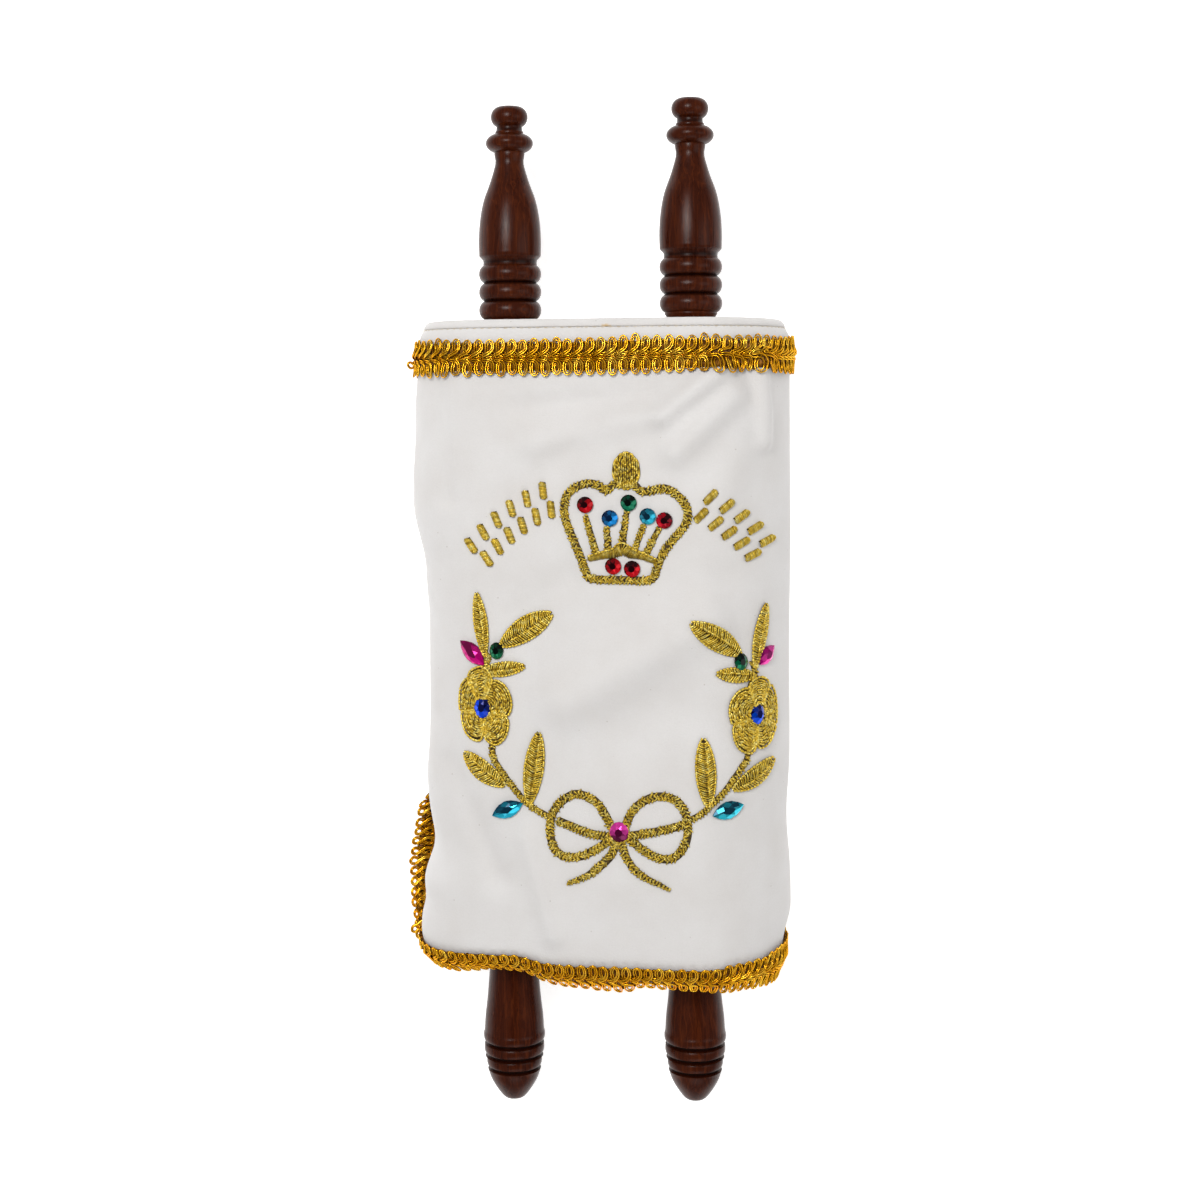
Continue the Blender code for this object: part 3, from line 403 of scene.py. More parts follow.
paper.add([[x, y, z] for y in sheet_ends for x, z in corners],
          [(0, 1, 2, 3), (7, 6, 5, 4), (0, 4, 5, 1), (1, 5, 6, 2), (2, 6, 7, 3), (3, 7, 4, 0)])
paper.finish_piece("wound_paper", "paper_scroll", "paper", cream_paper, crease=40)


# ------------------------------------------------------------------ mantle
# A tube of white short-nap plush, pulled over both rolls and closed down the back of
# the left side, where the seam is left open as a slit.  It is cut flat and sewn, so it
# lies taut round the rolls, with soft folds where they hold it away from its own cut.

BACK_HEIGHT = 2.0
CLOTH_RADIUS = [z - BACK_HEIGHT for z in AXIS_Z]
CLOTH_THICKNESS = 1.2
# Cut height of the cloth: the panel's seam to the hem, with what the hem's curl takes up
top_low, top_high = (corner - ORIGIN for corner in box_mm("mantle_top"))
MANTLE_TOP_Y = top_high[1]
PANEL_SEAM_Y = top_low[1] - 0.3
SHOULDER_Y = MANTLE_TOP_Y - 7.1
SHOULDER_DROP = 2.6
SLIT_TOP_Y = -71.0
HEM_START_Y = -118.0
HEM_Y = -136.0
HEM_CURL = 12.0
HEM_BRAID_SHARE = 0.45
CLOTH_HEM_SHARE = 0.93
CLOTH_STEP = 1.5
UPPER_ROWS, SLIT_ROWS, HEM_ROWS = 113, 28, 15
BACK = math.radians(270)
FRONT = math.radians(90) + 2 * math.atan((AXIS_Z[1] - AXIS_Z[0]) / (AXIS_X[1] - AXIS_X[0]))
SLIT_WRAP = math.radians(60.6)
SLIT = BACK - SLIT_WRAP

# Once round the cloth from the slit: left back, back, right side, front, left front
FRONT_WIDTH = math.sqrt(span @ span - (CLOTH_RADIUS[1] - CLOTH_RADIUS[0]) ** 2)
RUNS = np.cumsum([0.0, CLOTH_RADIUS[0] * SLIT_WRAP, span[0], CLOTH_RADIUS[1] * (FRONT + math.tau - BACK),
                  FRONT_WIDTH, CLOTH_RADIUS[0] * (SLIT - FRONT)])
GIRTH = RUNS[-1]


def station(run):
    """Share of the way across and outward angle, this far round the cloth from the slit."""
    share = np.interp(run, RUNS, [0, 0, 1, 1, 0, 0])
    angle = np.interp(run, RUNS, [SLIT, BACK, BACK, FRONT + math.tau, FRONT + math.tau, SLIT + math.tau])
    return share, angle


def smoothstep(value, low, high):
    share = np.clip((value - low) / (high - low), 0.0, 1.0)
    return share * share * (3 - 2 * share)


def ridge(x, y, start, end, width, height):
    """Height of one soft fold that runs from start to end."""
    along_x, along_y = end[0] - start[0], end[1] - start[1]
    share = ((x - start[0]) * along_x + (y - start[1]) * along_y) / (along_x ** 2 + along_y ** 2)
    share = np.clip(share, 0.0, 1.0)
    away = np.hypot(x - start[0] - along_x * share, y - start[1] - along_y * share) / width
    return height * np.exp(-away * away)


# Folds of the front: start, end, half width and height
FRONT_FOLDS = (((-12, -33), (37, -3), 9.5, 4.6), ((24, -36), (9, -47), 11, -2.0),
               ((-24, 60), (16, 70), 5.5, 2.2), ((-30, 73), (18, 78), 4.5, -1.8),
               ((36, 76), (30, 48), 20, 1.6), ((-4, 66), (-28, 42), 6, -1.2),
               ((43, 87), (23, 70), 4.2, 4.4), ((47, 77), (27, 57), 5.0, 3.6),
               ((56, 70), (45, 44), 7, 1.8), ((57.9, 90), (58.6, 60), 2.9, 4.4),
               ((-58.5, 82), (-55, 40), 3.2, -2.8), ((-53, 83), (-60, 24), 6, 1.4),
               ((-56, -58), (-38, -98), 5, -2.4), ((-28, -83), (-18, -118), 4, 2.4),
               ((-12, 12), (-30, -2), 6, -1.8), ((44, 10), (52, -10), 6, -1.4))


def ease(x, y, angle):
    """How far the cloth stands off the taut hull."""
    left = np.maximum(0.0, -np.cos(angle)) ** 2
    right = np.maximum(0.0, np.cos(angle)) ** 2
    front = np.maximum(0.0, np.sin(angle))
    upper = 5.8 * (0.22 * smoothstep(y, -8, 14) + 0.78 * smoothstep(y, 12, 38))
    upper = upper * (1 - 0.15 * smoothstep(y, 46, 66) - 0.29 * smoothstep(y, 72, 98))
    # At the sides the folds run straight round, so only their place along the scroll counts
    lower = 3.6 * smoothstep(-y, 90, 112) + ridge(0 * y, y, (0, -66), (0, -65), 11, 1.1)
    lower -= ridge(0 * y, y, (0, -90), (0, -89), 8, 1.6) + ridge(0 * y, y, (0, -112), (0, -111), 5, 1.6)
    slack = left * (upper + lower)
    slack -= right * (0.7 * smoothstep(-y, -30, 20) + 2.6 * smoothstep(-y, 113, 126))
    slack -= right * ridge(0 * y, y, (0, -80), (0, -79), 14, 1.4)
    return slack + front * sum(ridge(x, y, *fold) for fold in FRONT_FOLDS)


def hem_front(angle):
    """1 on the front and sides of the hem, 0 on the back that lies on the floor."""
    return smoothstep(np.sin(angle), -0.75, -0.2)


def hem_line(x, angle, share):
    """Distance along the scroll, a share of the way from the last straight row to the hem."""
    front = hem_front(angle)
    upper = HEM_Y + 12 - front * (3.6 - 2.5 * smoothstep(-x, 18, 32) + smoothstep(-x, 45, 64))
    upper += front * (1.4 * smoothstep(x, 38, 50) + 1.4 * smoothstep(x, 54, 66))
    lower = HEM_Y + front * (2.7 * smoothstep(-x, 20, 32) - 1.5 * smoothstep(-x, 40, 60))
    lower -= front * (3.5 * smoothstep(x, -40, -5) - 2.4 * smoothstep(x, 6, 14)
                      + 1.2 * smoothstep(x, 36, 48))
    lower -= front * 1.6 * smoothstep(x, 56, 68)
    above = HEM_START_Y + (upper - HEM_START_Y) * share / HEM_BRAID_SHARE
    below = upper + (lower - upper) * (share - HEM_BRAID_SHARE) / (1 - HEM_BRAID_SHARE)
    return np.where(share < HEM_BRAID_SHARE, above, below)


def hem_depth(x, angle):
    """How far the lower edge curls in: deepest at the left front, none at the back."""
    depth = HEM_CURL - 7 * smoothstep(-x, 46, 66) - 5 * smoothstep(x, -10, 45)
    return hem_front(angle) * (depth - 3 * smoothstep(x, 50, 72))


def flare(y):
    """How far the cloth behind the slit has opened out."""
    open_by = SLIT_TOP_Y - y
    opened = 0.55 * smoothstep(open_by, 0, 12) + 0.45 * smoothstep(open_by, 6, 34)
    return 0.66 * opened * (1 - 0.14 * smoothstep(-y, 110, 124))


def flap(wrap, y, lift):
    """Cloth behind the slit, wrapped by this angle; it uncurls as the slit opens."""
    opening = 1 - flare(y)
    radius = CLOTH_RADIUS[0] / opening
    turn = BACK - wrap * opening
    out = radius + ease(AXIS_X[0], y, turn) + lift
    height = BACK_HEIGHT + radius + out * np.sin(turn)
    return np.stack([AXIS_X[0] + out * np.cos(turn), y + 0 * wrap, height], -1)


def cloth(run, y, hem, lift):
    """Points of the mantle's face this far round it, lifted off it along its outward angle."""
    run, y, hem, lift = np.broadcast_arrays(*(np.asarray(a, float) for a in (run, y, hem, lift)))
    share, angle = station(run)
    radius = CLOTH_RADIUS[0] + (CLOTH_RADIUS[1] - CLOTH_RADIUS[0]) * share
    hull_x = AXIS_X[0] + span[0] * share + radius * np.cos(angle)
    hull_z = AXIS_Z[0] + span[1] * share + radius * np.sin(angle)
    y = np.where(hem > 0, hem_line(hull_x, angle, hem), y)
    curl = np.maximum(0.0, (hem - 0.3) / 0.7)
    out = ease(hull_x, y, angle) + lift - hem_depth(hull_x, angle) * curl * curl
    out -= SHOULDER_DROP * smoothstep(y, SHOULDER_Y, MANTLE_TOP_Y)
    points = np.stack([hull_x + out * np.cos(angle), y, hull_z + out * np.sin(angle)], -1)
    behind = (run < RUNS[1]) & (y < SLIT_TOP_Y)
    return np.where(behind[..., None], flap(BACK - np.minimum(angle, BACK), y, lift), points)


def white_plush():
    """Short-nap white plush: soft and matt, a faint sheen, specks of lint in the nap."""
    made, add, shader, place = start_material("white_plush", Roughness=0.88, Sheen_Weight=0.18,
                                              Sheen_Roughness=0.4)
    # Tufts of 0.7 mm, coarser than real ones; brushed patches of 18 mm; lint every 7 mm
    nap = add("TexNoise", {"Vector": place, "Scale": 1500.0, "Detail": 3.0, "Roughness": 0.7})
    brushed = add("TexNoise", {"Vector": place, "Scale": 55.0, "Detail": 3.0})
    tone = add("ValToRGB", {"Fac": brushed}, ramp=[(0.3, 0xE0DDDB), (0.7, 0xE6E4E3)])
    shade = add("MapRange", {"Value": nap, "From Min": 0.25, "From Max": 0.75, "To Max": 0.12})
    napped = add("Mix", {"Factor": shade, "A": tone, "B": 0xB9B4AE}, data_type="RGBA")
    lint = add("TexVoronoi", {"Vector": place, "Scale": 150.0})
    speck = add("MapRange", {"Value": lint, "From Min": 0.05, "From Max": 0.03, "To Max": 0.35})
    linted = add("Mix", {"Factor": speck, "A": napped, "B": 0x9C9183}, data_type="RGBA")
    bump = add("Bump", {"Height": nap, "Strength": 0.35, "Distance": 0.0003})
    plug(shader, {"Base Color": linted, "Normal": bump})
    return made


def compact(points, faces):
    """Drop the points that no face uses."""
    used, places = np.unique(faces, return_inverse=True)
    return points.reshape(-1, 3)[used], places.reshape(faces.shape)


plush = white_plush()
upper_rows = np.linspace(PANEL_SEAM_Y + 0.2, SLIT_TOP_Y, UPPER_ROWS)
slit_rows = np.linspace(SLIT_TOP_Y, HEM_START_Y, SLIT_ROWS)[1:]
hem_shares = np.linspace(0, CLOTH_HEM_SHARE, HEM_ROWS)[1:]
row_y = np.concatenate([upper_rows, slit_rows, np.full(len(hem_shares), HEM_START_Y)])[:, None]
row_hem = np.concatenate([np.zeros(len(upper_rows) + len(slit_rows)), hem_shares])[:, None]
columns = np.unique(np.concatenate([np.linspace(a, b, max(4, round((b - a) / CLOTH_STEP)))
                                    for a, b in zip(RUNS, RUNS[1:])]))
rows, count = len(row_y), len(columns)
seam_tuck = 0.12 * smoothstep(row_y, PANEL_SEAM_Y - 1.6, PANEL_SEAM_Y)
outer = cloth(columns[None, :], row_y, row_hem, -seam_tuck)
inner = cloth(columns[None, :], row_y, row_hem, -CLOTH_THICKNESS)
numbers = np.arange(rows * count).reshape(rows, count)
numbers[:len(upper_rows), -1] = numbers[:len(upper_rows), 0]
face_numbers = numbers.ravel()[grid_faces(rows, count)]
back_numbers = face_numbers[:, ::-1] + rows * count
rims = [numbers[0], numbers[-1], numbers[len(upper_rows) - 1:, 0], numbers[len(upper_rows) - 1:, -1]]
rim_faces = [np.stack([rim[:-1], rim[1:], rim[1:] + rows * count, rim[:-1] + rows * count], -1)
             for rim in rims]
mantle = Work()
mantle.add(*compact(np.stack([outer, inner]), np.concatenate([face_numbers, back_numbers] + rim_faces)))
mantle_cloth = mantle.finish_piece("mantle_cloth", "mantle_body", "mantle_cloth", plush, crease=50)


# ------------------------------------------------------------------ mantle's top
# A stiff oval panel covered with the same plush, sewn to the tube with a rolled edge
# and a row of short stitches.  The handles leave it through two bound holes.

PANEL_HOLE = 10.5
PANEL_THICKNESS = 3.1
RIM_POINTS, HOLE_POINTS, BINDING_POINTS = 300, 48, 44
STITCH, STITCH_GAP, STITCH_RADIUS, BINDING_RADIUS = 2.1, 0.9, 0.2, 0.24
# Turned edges, as steps outwards from the seam or the hole's edge, and up: rim and holes
ROLL = ((-1.4, 0.0), (-0.45, 0.05), (0.1, 0.45), (0.32, 1.1), (0.22, 1.9), (-0.25, 2.6), (-1.0, 3.05),
        (-2.0, 3.2), (-3.2, 3.2), (-4.0, 3.02), (-4.6, 2.98), (-5.4, PANEL_THICKNESS))
HOLE_ROLL = ((0.0, 0.0), (-0.25, 0.8), (-0.25, 2.3), (0.15, 3.2), (0.9, 3.5), (1.7, 3.35),
             (2.2, PANEL_THICKNESS))


def unit(vectors):
    return vectors / np.maximum(np.linalg.norm(vectors, axis=-1, keepdims=True), 1e-9)


def tubes(paths, ups, radius, sides=6, finish=0, shine=1.0):
    """Round threads along the paths (thread, point, xyz); radius may change along them."""
    ahead = np.gradient(paths, axis=1)
    along = unit(ahead)
    beside = unit(np.cross(along, ups))
    above = np.cross(beside, along)
    turns = 2 * np.pi * np.arange(sides) / sides
    wide = np.broadcast_to(radius, paths.shape[:2])[..., None, None]
    ring = beside[:, :, None] * np.cos(turns)[:, None] + above[:, :, None] * np.sin(turns)[:, None]
    points = paths[:, :, None] + ring * wide
    length = np.cumsum(np.linalg.norm(ahead, axis=-1), axis=1)
    threads, steps = paths.shape[:2]
    first = (np.arange(threads) * steps * sides)[:, None, None]
    faces = grid_faces(steps, sides, closed_columns=True)[None] + first
    # Crest: 1 on each thread's upper side, 0 beneath, times its shine; the materials paint shade from it
    crest = shine * (0.5 + 0.5 * np.sin(turns)) + 0 * length[..., None]
    return points, faces.reshape(-1, 4), finish, length[..., None], crest


def twist_wave(add, pitch):
    """How high a thread's strands stand along it, if it is twisted once in this many mm."""
    run = add("Attribute", attribute_name="run").outputs["Fac"]
    spun = add("Math", {0: run, 1: math.tau / pitch}, operation="MULTIPLY")
    return add("Math", {0: spun}, operation="SINE")


def sewing_thread():
    """Spun polyester thread in a greyed beige, its grey uneven along it."""
    made, add, shader, place = start_material("sewing_thread", Roughness=0.7)
    # Its grey comes and goes every 3 mm; it is twisted once in 0.5 mm
    mottle = add("TexNoise", {"Vector": place, "Scale": 320.0})
    tone = add("ValToRGB", {"Fac": mottle}, ramp=[(0.35, 0xCDBFA6), (0.65, 0xE4DCCC)])
    bump = add("Bump", {"Height": twist_wave(add, 0.5), "Strength": 0.4, "Distance": 0.00008})
    plug(shader, {"Base Color": tone, "Normal": bump})
    return made


def stained_plush():
    """The same plush, with one small yellow glue stain on the seam at the front."""
    made = plush.copy()
    made.name = "white_plush_stained"
    add = functools.partial(add_node, made.node_tree)
    shader = made.node_tree.nodes["Principled BSDF"]
    place = add("TexCoord").outputs["Object"]
    # About 4 mm along the seam and half as wide, with an edge that wanders every millimetre
    spot = cloth(RUNS[3] + FRONT_WIDTH * 0.39, PANEL_SEAM_Y + 0.5, 0, 0) + ORIGIN
    away = add("VectorMath", {0: place, 1: [c * MM for c in spot]}, operation="SUBTRACT")
    flat = add("VectorMath", {0: away, 1: (0.75, 1.6, 0.75)}, operation="MULTIPLY")
    far = add("VectorMath", {0: flat}, operation="LENGTH")
    ragged = add("TexNoise", {"Vector": place, "Scale": 900.0, "Detail": 3.0})
    wander = add("Math", {0: ragged, 1: 0.0016, 2: far}, operation="MULTIPLY_ADD")
    mask = add("MapRange", {"Value": wander, "From Min": 0.0024, "From Max": 0.0012, "To Max": 0.8})
    clean = shader.inputs["Base Color"].links[0].from_socket
    plug(shader, {"Base Color": add("Mix", {"Factor": mask, "A": clean, "B": 0xD9B26A}, data_type="RGBA")})
    return made


def panel_face(rim, holes, y):
    """Flat faces between the rim and the two holes, as triangles; points keep their order."""
    bm = bmesh.new()
    for loop in [rim] + holes:
        verts = [bm.verts.new((p[0], y, p[2])) for p in loop]
        for a, b in zip(verts, verts[1:] + verts[:1]):
            bm.edges.new((a, b))
    bm.verts.index_update()
    bmesh.ops.triangle_fill(bm, use_beauty=True, edges=bm.edges[:], normal=(0, 1, 0))
    faces = [[v.index for v in face.verts] for face in bm.faces]
    bm.free()
    return faces


panel = Work()
rim_runs = np.linspace(0, GIRTH, RIM_POINTS, endpoint=False)
edges = [np.stack([cloth(rim_runs, top_low[1] + up, 0, out) for out, up in ROLL])]
hole_profile = np.array([(top_low[1] + up, PANEL_HOLE + out) for out, up in HOLE_ROLL])
edges += [turned(side, hole_profile, HOLE_POINTS) for side in (0, 1)]
bases = np.cumsum([0] + [edge.shape[0] * edge.shape[1] for edge in edges])
quads = [grid_faces(*edge.shape[:2], closed_columns=True)[:, ::1 if base == 0 else -1] + base
         for edge, base in zip(edges, bases)]
panel.add(np.concatenate([edge.reshape(-1, 3) for edge in edges]), np.concatenate(quads))
for level, row in ((PANEL_THICKNESS, -1), (0.0, 0)):
    loops = [edge[row] for edge in edges]
    numbers = np.concatenate([base + row % len(edge) * edge.shape[1] + np.arange(edge.shape[1])
                              for edge, base in zip(edges, bases)])
    triangles = np.array(panel_face(loops[0], loops[1:], top_low[1] + level))
    panel.faces.extend(numbers[triangles].tolist())
    panel.finishes.append(np.zeros(len(triangles)))

# Topstitching round the seam, and a bound edge in each hole
count = round(GIRTH / (STITCH + STITCH_GAP))
starts = GIRTH * np.arange(count) / count
stitch_runs = starts[:, None] + STITCH * np.linspace(0, 1, 7)
dip = np.array([-1.0, -0.15, 0.12, 0.18, 0.12, -0.15, -1.0])
seam = cloth(stitch_runs, PANEL_SEAM_Y + 0.12, 0, dip - 0.25)
angle = station(stitch_runs)[1]
outward = np.stack([np.cos(angle), 0 * angle, np.sin(angle)], -1)
panel.add(*tubes(seam, outward, STITCH_RADIUS, finish=1))
arch = np.array([(-0.35, 2.2), (-0.1, 3.2), (0.6, 3.72), (1.6, 3.6), (2.5, 3.0)])
for side in (0, 1):
    ring = turned(side, np.stack([top_low[1] + arch[:, 1], PANEL_HOLE + arch[:, 0]], -1), BINDING_POINTS)
    binding = ring.transpose(1, 0, 2)
    upward = np.broadcast_to([0.0, 1.0, 0.0], binding.shape)
    panel.add(*tubes(binding, upward, BINDING_RADIUS, finish=1))
panel.finish_piece("mantle_top_panel", "mantle_top", "mantle_cloth", stained_plush(), sewing_thread(),
                   crease=50)


# ------------------------------------------------------------------ gimp braid
# Gimp: a cord of two gold-wrapped strands thrown to and fro over a narrow core, with a
# row of loops at each edge and a plait where its legs cross.  It is sewn flat round the
# top and the hem, and on edge down the slit, where its outer loops are open eyelets.

BRAID_WIDTH = 13.9
BRAID_STANDOFF = 0.3
LOOP_PITCH = 4.1
# The cord's two strands: place beside its path, radius in mm, height above it
STRANDS = ((0.39, 0.33, 0.0), (-0.37, 0.30, -0.2))
UNDER_STRAND = ((0.0, 0.33, 0.0),)

# One cell of the cord's path: along in pitches, across in half widths, height in mm
LOOPS = ((-0.20, 0.12, 0.75), (-0.27, 0.36, 1.0), (-0.28, 0.62, 1.15), (-0.20, 0.82, 1.2),
         (0.00, 0.90, 1.25), (0.20, 0.82, 1.3), (0.28, 0.62, 1.45), (0.24, 0.43, 1.75), (0.04, 0.28, 2.1),
         (-0.30, 0.16, 2.2), (-0.62, 0.07, 1.7), (-0.80, -0.03, 0.9), (-0.62, -0.14, 1.2),
         (-0.28, -0.18, 1.7), (0.08, -0.22, 1.75), (0.26, -0.38, 1.4), (0.28, -0.62, 1.2),
         (0.20, -0.82, 1.2), (0.0, -0.90, 1.2), (-0.20, -0.82, 1.2), (-0.28, -0.62, 1.15),
         (-0.26, -0.38, 0.95), (-0.08, -0.16, 0.65), (0.35, 0.0, 0.5))
# The second cord lies under the gaps: shorter loops, all of them low
UNDER_LOOPS = ((-0.15, 0.2, 0.4), (-0.2, 0.5, 0.5), (-0.1, 0.74, 0.5), (0.1, 0.74, 0.5), (0.2, 0.5, 0.5),
               (0.1, 0.1, 0.5), (-0.3, 0.0, 0.5), (-0.1, -0.15, 0.5), (0.2, -0.5, 0.5),
               (0.1, -0.74, 0.5), (-0.1, -0.74, 0.5), (-0.2, -0.5, 0.5), (0.2, -0.1, 0.4))
# On the slit's braid the outer loops are spread into round eyelets
EYELETS = ((-0.45, -0.20, 0.6), (-0.30, 0.15, 0.9), (-0.05, 0.38, 0.8), (0.16, 0.52, 0.75),
           (0.30, 0.64, 0.7), (0.31, 0.76, 0.65), (0.19, 0.88, 0.65), (0.0, 0.92, 0.65),
           (-0.19, 0.88, 0.65), (-0.31, 0.76, 0.7), (-0.30, 0.64, 0.8), (-0.14, 0.52, 1.0),
           (0.06, 0.38, 1.2), (0.30, 0.18, 1.6), (0.22, -0.1, 1.3), (0.0, -0.32, 0.9),
           (0.16, -0.52, 0.8), (0.36, -0.4, 0.6))
UNDER_EYELETS = ((-0.40, -0.25, 0.6), (-0.20, 0.15, 0.6), (0.22, 0.30, 0.5), (0.25, 0.48, 0.5),
                 (0.0, 0.60, 0.5), (-0.25, 0.48, 0.5), (-0.22, 0.30, 0.6), (0.20, 0.15, 1.1),
                 (0.30, -0.25, 0.7))
SLIT_STRANDS = ((0.34, 0.38, 0.0), (-0.34, 0.34, -0.1))


def gold_gimp():
    """Gold gimp: rayon strands wrapped with gilt lurex, painted bright on top and dark amber on the sides as
    shade.
    """
    made, add, shader, place = start_material("gold_gimp", Metallic=0.85, Roughness=0.25, Coat_Weight=0.04,
                                              Coat_Roughness=0.16, Specular_Tint=0xFFC63C)
    # Colour drifts every 6 mm; the wrap turns once in 0.42 mm, coarser than real lurex
    uneven = add("TexNoise", {"Vector": place, "Scale": 160.0, "Detail": 3.0})
    tone = add("ValToRGB", {"Fac": uneven}, ramp=[(0.3, 0xDA980E), (0.5, 0xF0B020), (0.7, 0xFFD048)])
    # Painted shade: dark amber on each strand's sides and underside
    crest = add("Attribute", attribute_name="crest").outputs["Fac"]
    lit = add("MapRange", {"Value": crest, "From Min": 0.3, "From Max": 0.85})
    shaded_tone = add("Mix", {"Factor": lit, "A": 0x573003, "B": tone}, data_type="RGBA")
    glint = add("TexNoise", {"Vector": place, "Scale": 2200.0})
    rough = add("MapRange", {"Value": glint, "To Min": 0.14, "To Max": 0.26})
    bump = add("Bump", {"Height": twist_wave(add, 0.42), "Strength": 0.1, "Distance": 0.00006})
    plug(shader, {"Base Color": shaded_tone, "Roughness": rough, "Normal": bump})
    return made


def gimp_core():
    """The core between the loops: amber rayon cords, ribbed across, painted dark down the middle as shade.
    """
    made, add, shader, place = start_material("gimp_core", Metallic=0.4, Roughness=0.45)
    # Colour drifts every 2 mm; the ribs are 0.8 mm apart
    uneven = add("TexNoise", {"Vector": place, "Scale": 500.0, "Detail": 3.0})
    tone = add("ValToRGB", {"Fac": uneven}, ramp=[(0.3, 0x744304), (0.7, 0xB2740A)])
    # Painted shade, darkest down the core's middle and lighter toward its edges
    light_share = add("Attribute", attribute_name="crest").outputs["Fac"]
    shaded_core = add("Mix", {"Factor": light_share, "A": 0x241202, "B": tone}, data_type="RGBA")
    bump = add("Bump", {"Height": twist_wave(add, 0.8), "Strength": 0.7, "Distance": 0.0002})
    plug(shader, {"Base Color": shaded_core, "Normal": bump})
    return made


def braid_ground(face, u, v):
    """Points and outward normals of the surface that a braid is sewn to."""
    step = 0.4
    points = face(u, v)
    normals = unit(np.cross(face(u, v + step) - face(u, v - step), face(u + step, v) - face(u - step, v)))
    return points, normals


def catmull(knots, steps):
    """Smooth line through evenly numbered knots, with this many points from knot to knot."""
    padded = np.vstack([2 * knots[0] - knots[1], knots, 2 * knots[-1] - knots[-2]])
    four = (padded[k:len(padded) - 3 + k, None] for k in range(4))
    curve = between(*four, (np.arange(steps) / steps)[None, :, None])
    return np.vstack([curve.reshape(-1, 3), knots[-1:]])


def throw_cord(work, face, cell, length, half_width, closed, strands, offset, shine):
    """One cord thrown to and fro along a face(u, v), a cell of its path at a time."""
    cells = round(length / LOOP_PITCH)
    path = np.tile(np.array(cell), (cells, 1)).reshape(cells, len(cell), 3)
    path[..., 0] = np.arange(cells)[:, None] + 0.5 + offset - path[..., 0]
    path[..., 0] += draw.normal(0, 0.03, (cells, 1)) + draw.normal(0, 0.012, path.shape[:2])
    stretch = 1 + draw.normal(0, 0.035, (cells, 2))
    path[..., 1] *= np.where(path[..., 1] > 0, stretch[:, :1], stretch[:, 1:])
    path[..., 2] += draw.normal(0, 0.05, path.shape[:2])
    knots = path.reshape(-1, 3) * (length / cells, half_width, 1.0)
    if closed:
        knots = np.vstack([knots, knots[:1] + (length, 0, 0)])
    line = catmull(knots, 2)
    slope = unit(np.gradient(line[:, :2], axis=0))
    across = np.stack([slope[:, 1], -slope[:, 0], 0 * slope[:, 0]], -1)
    for beside, radius, rise in strands:
        strand = line + across * beside
        ground, outward = braid_ground(face, strand[:, 0], strand[:, 1])
        pressed = smoothstep(-outward[:, 2:], 0.5, 0.9)
        height = np.maximum(strand[:, 2:] + rise, radius + 0.05)
        height += pressed * (np.minimum(height, 1.7 - radius) - height)
        work.add(*tubes((ground + outward * (BRAID_STANDOFF + height))[None], outward[None], radius, 5,
                        shine=shine))


def braid_core(work, face, length, low, high, closed):
    """The ribbed core, between two distances across the braid."""
    v = low + (high - low) * np.array([0.0, 0.0, 0.2, 0.38, 0.5, 0.62, 0.8, 1.0, 1.0])
    height = BRAID_STANDOFF + np.array([0.0, 0.3, 0.45, 0.4, 0.3, 0.4, 0.45, 0.3, 0.0])
    # Painted light across the core: full a fifth of the way in from each edge, none down the middle
    light_share = np.array([0.5, 0.6, 1.0, 0.3, 0.0, 0.3, 1.0, 0.6, 0.5])
    steps = round(length / 1.4)
    u = (length * np.arange(steps + (0 if closed else 1)) / steps)[:, None]
    ground, outward = braid_ground(face, u + 0 * v, v + 0 * u)
    faces = grid_faces(len(u), len(v), closed_rows=closed, closed_columns=True)
    work.add(ground + outward * height[:, None], faces, 1, u, light_share)


def top_face(u, v):
    share, angle = station(np.mod(u, GIRTH))
    tilt = 0.6 * hem_front(angle) * smoothstep(share, 0.35, 0.9)
    return cloth(np.mod(u, GIRTH), SHOULDER_Y - BRAID_WIDTH / 2 + v + tilt, 0, 0)


HEM_BRAID_START = 6.0


def hem_face(u, v):
    share = HEM_BRAID_SHARE + (1 - HEM_BRAID_SHARE) * (0.5 - v / BRAID_WIDTH)
    return cloth(u + HEM_BRAID_START, HEM_START_Y, share, 0)


SLIT_BRAID_TOP = SLIT_TOP_Y - 2.5
SLIT_BRAID_LENGTH = 62.0
SLIT_BRAID_MIDDLE = 2.8
SLIT_REACH = 7.2


def slit_face(u, v):
    squeezed = 1 - 0.4 * smoothstep(u, 30, 46)
    v = SLIT_REACH - (SLIT_REACH - v) * squeezed - 1.6 * smoothstep(u, 44, 60)
    return flap(SLIT_WRAP + (SLIT_BRAID_MIDDLE + v) / CLOTH_RADIUS[0], SLIT_BRAID_TOP - u, 0.5)


gilt, core = gold_gimp(), gimp_core()
draw = np.random.default_rng(11)


def sew_braid(name, node, face, length, half_width, cells, strands, core_reach, shine, curl=(),
              closed=False):
    """One length of gimp: a cord, a second one under it, the core, and a curl pulled loose."""
    braid = Work()
    throw_cord(braid, face, cells[0], length, half_width, closed, strands, offset=0.0, shine=shine)
    # The cord underneath is painted darker, with half the shine
    throw_cord(braid, face, cells[1], length, half_width, closed, UNDER_STRAND, offset=0.5,
               shine=0.5 * shine)
    braid_core(braid, face, length, *core_reach, closed)
    if curl:
        radius, *knots = curl
        loose = smooth_curve(knots, 0.4)
        braid.add(*tubes(loose[None], np.broadcast_to((0.0, 0.0, 1.0), loose.shape)[None], radius, 6))
    return braid.finish_piece(name, node, "gimp_braid", gilt, core)


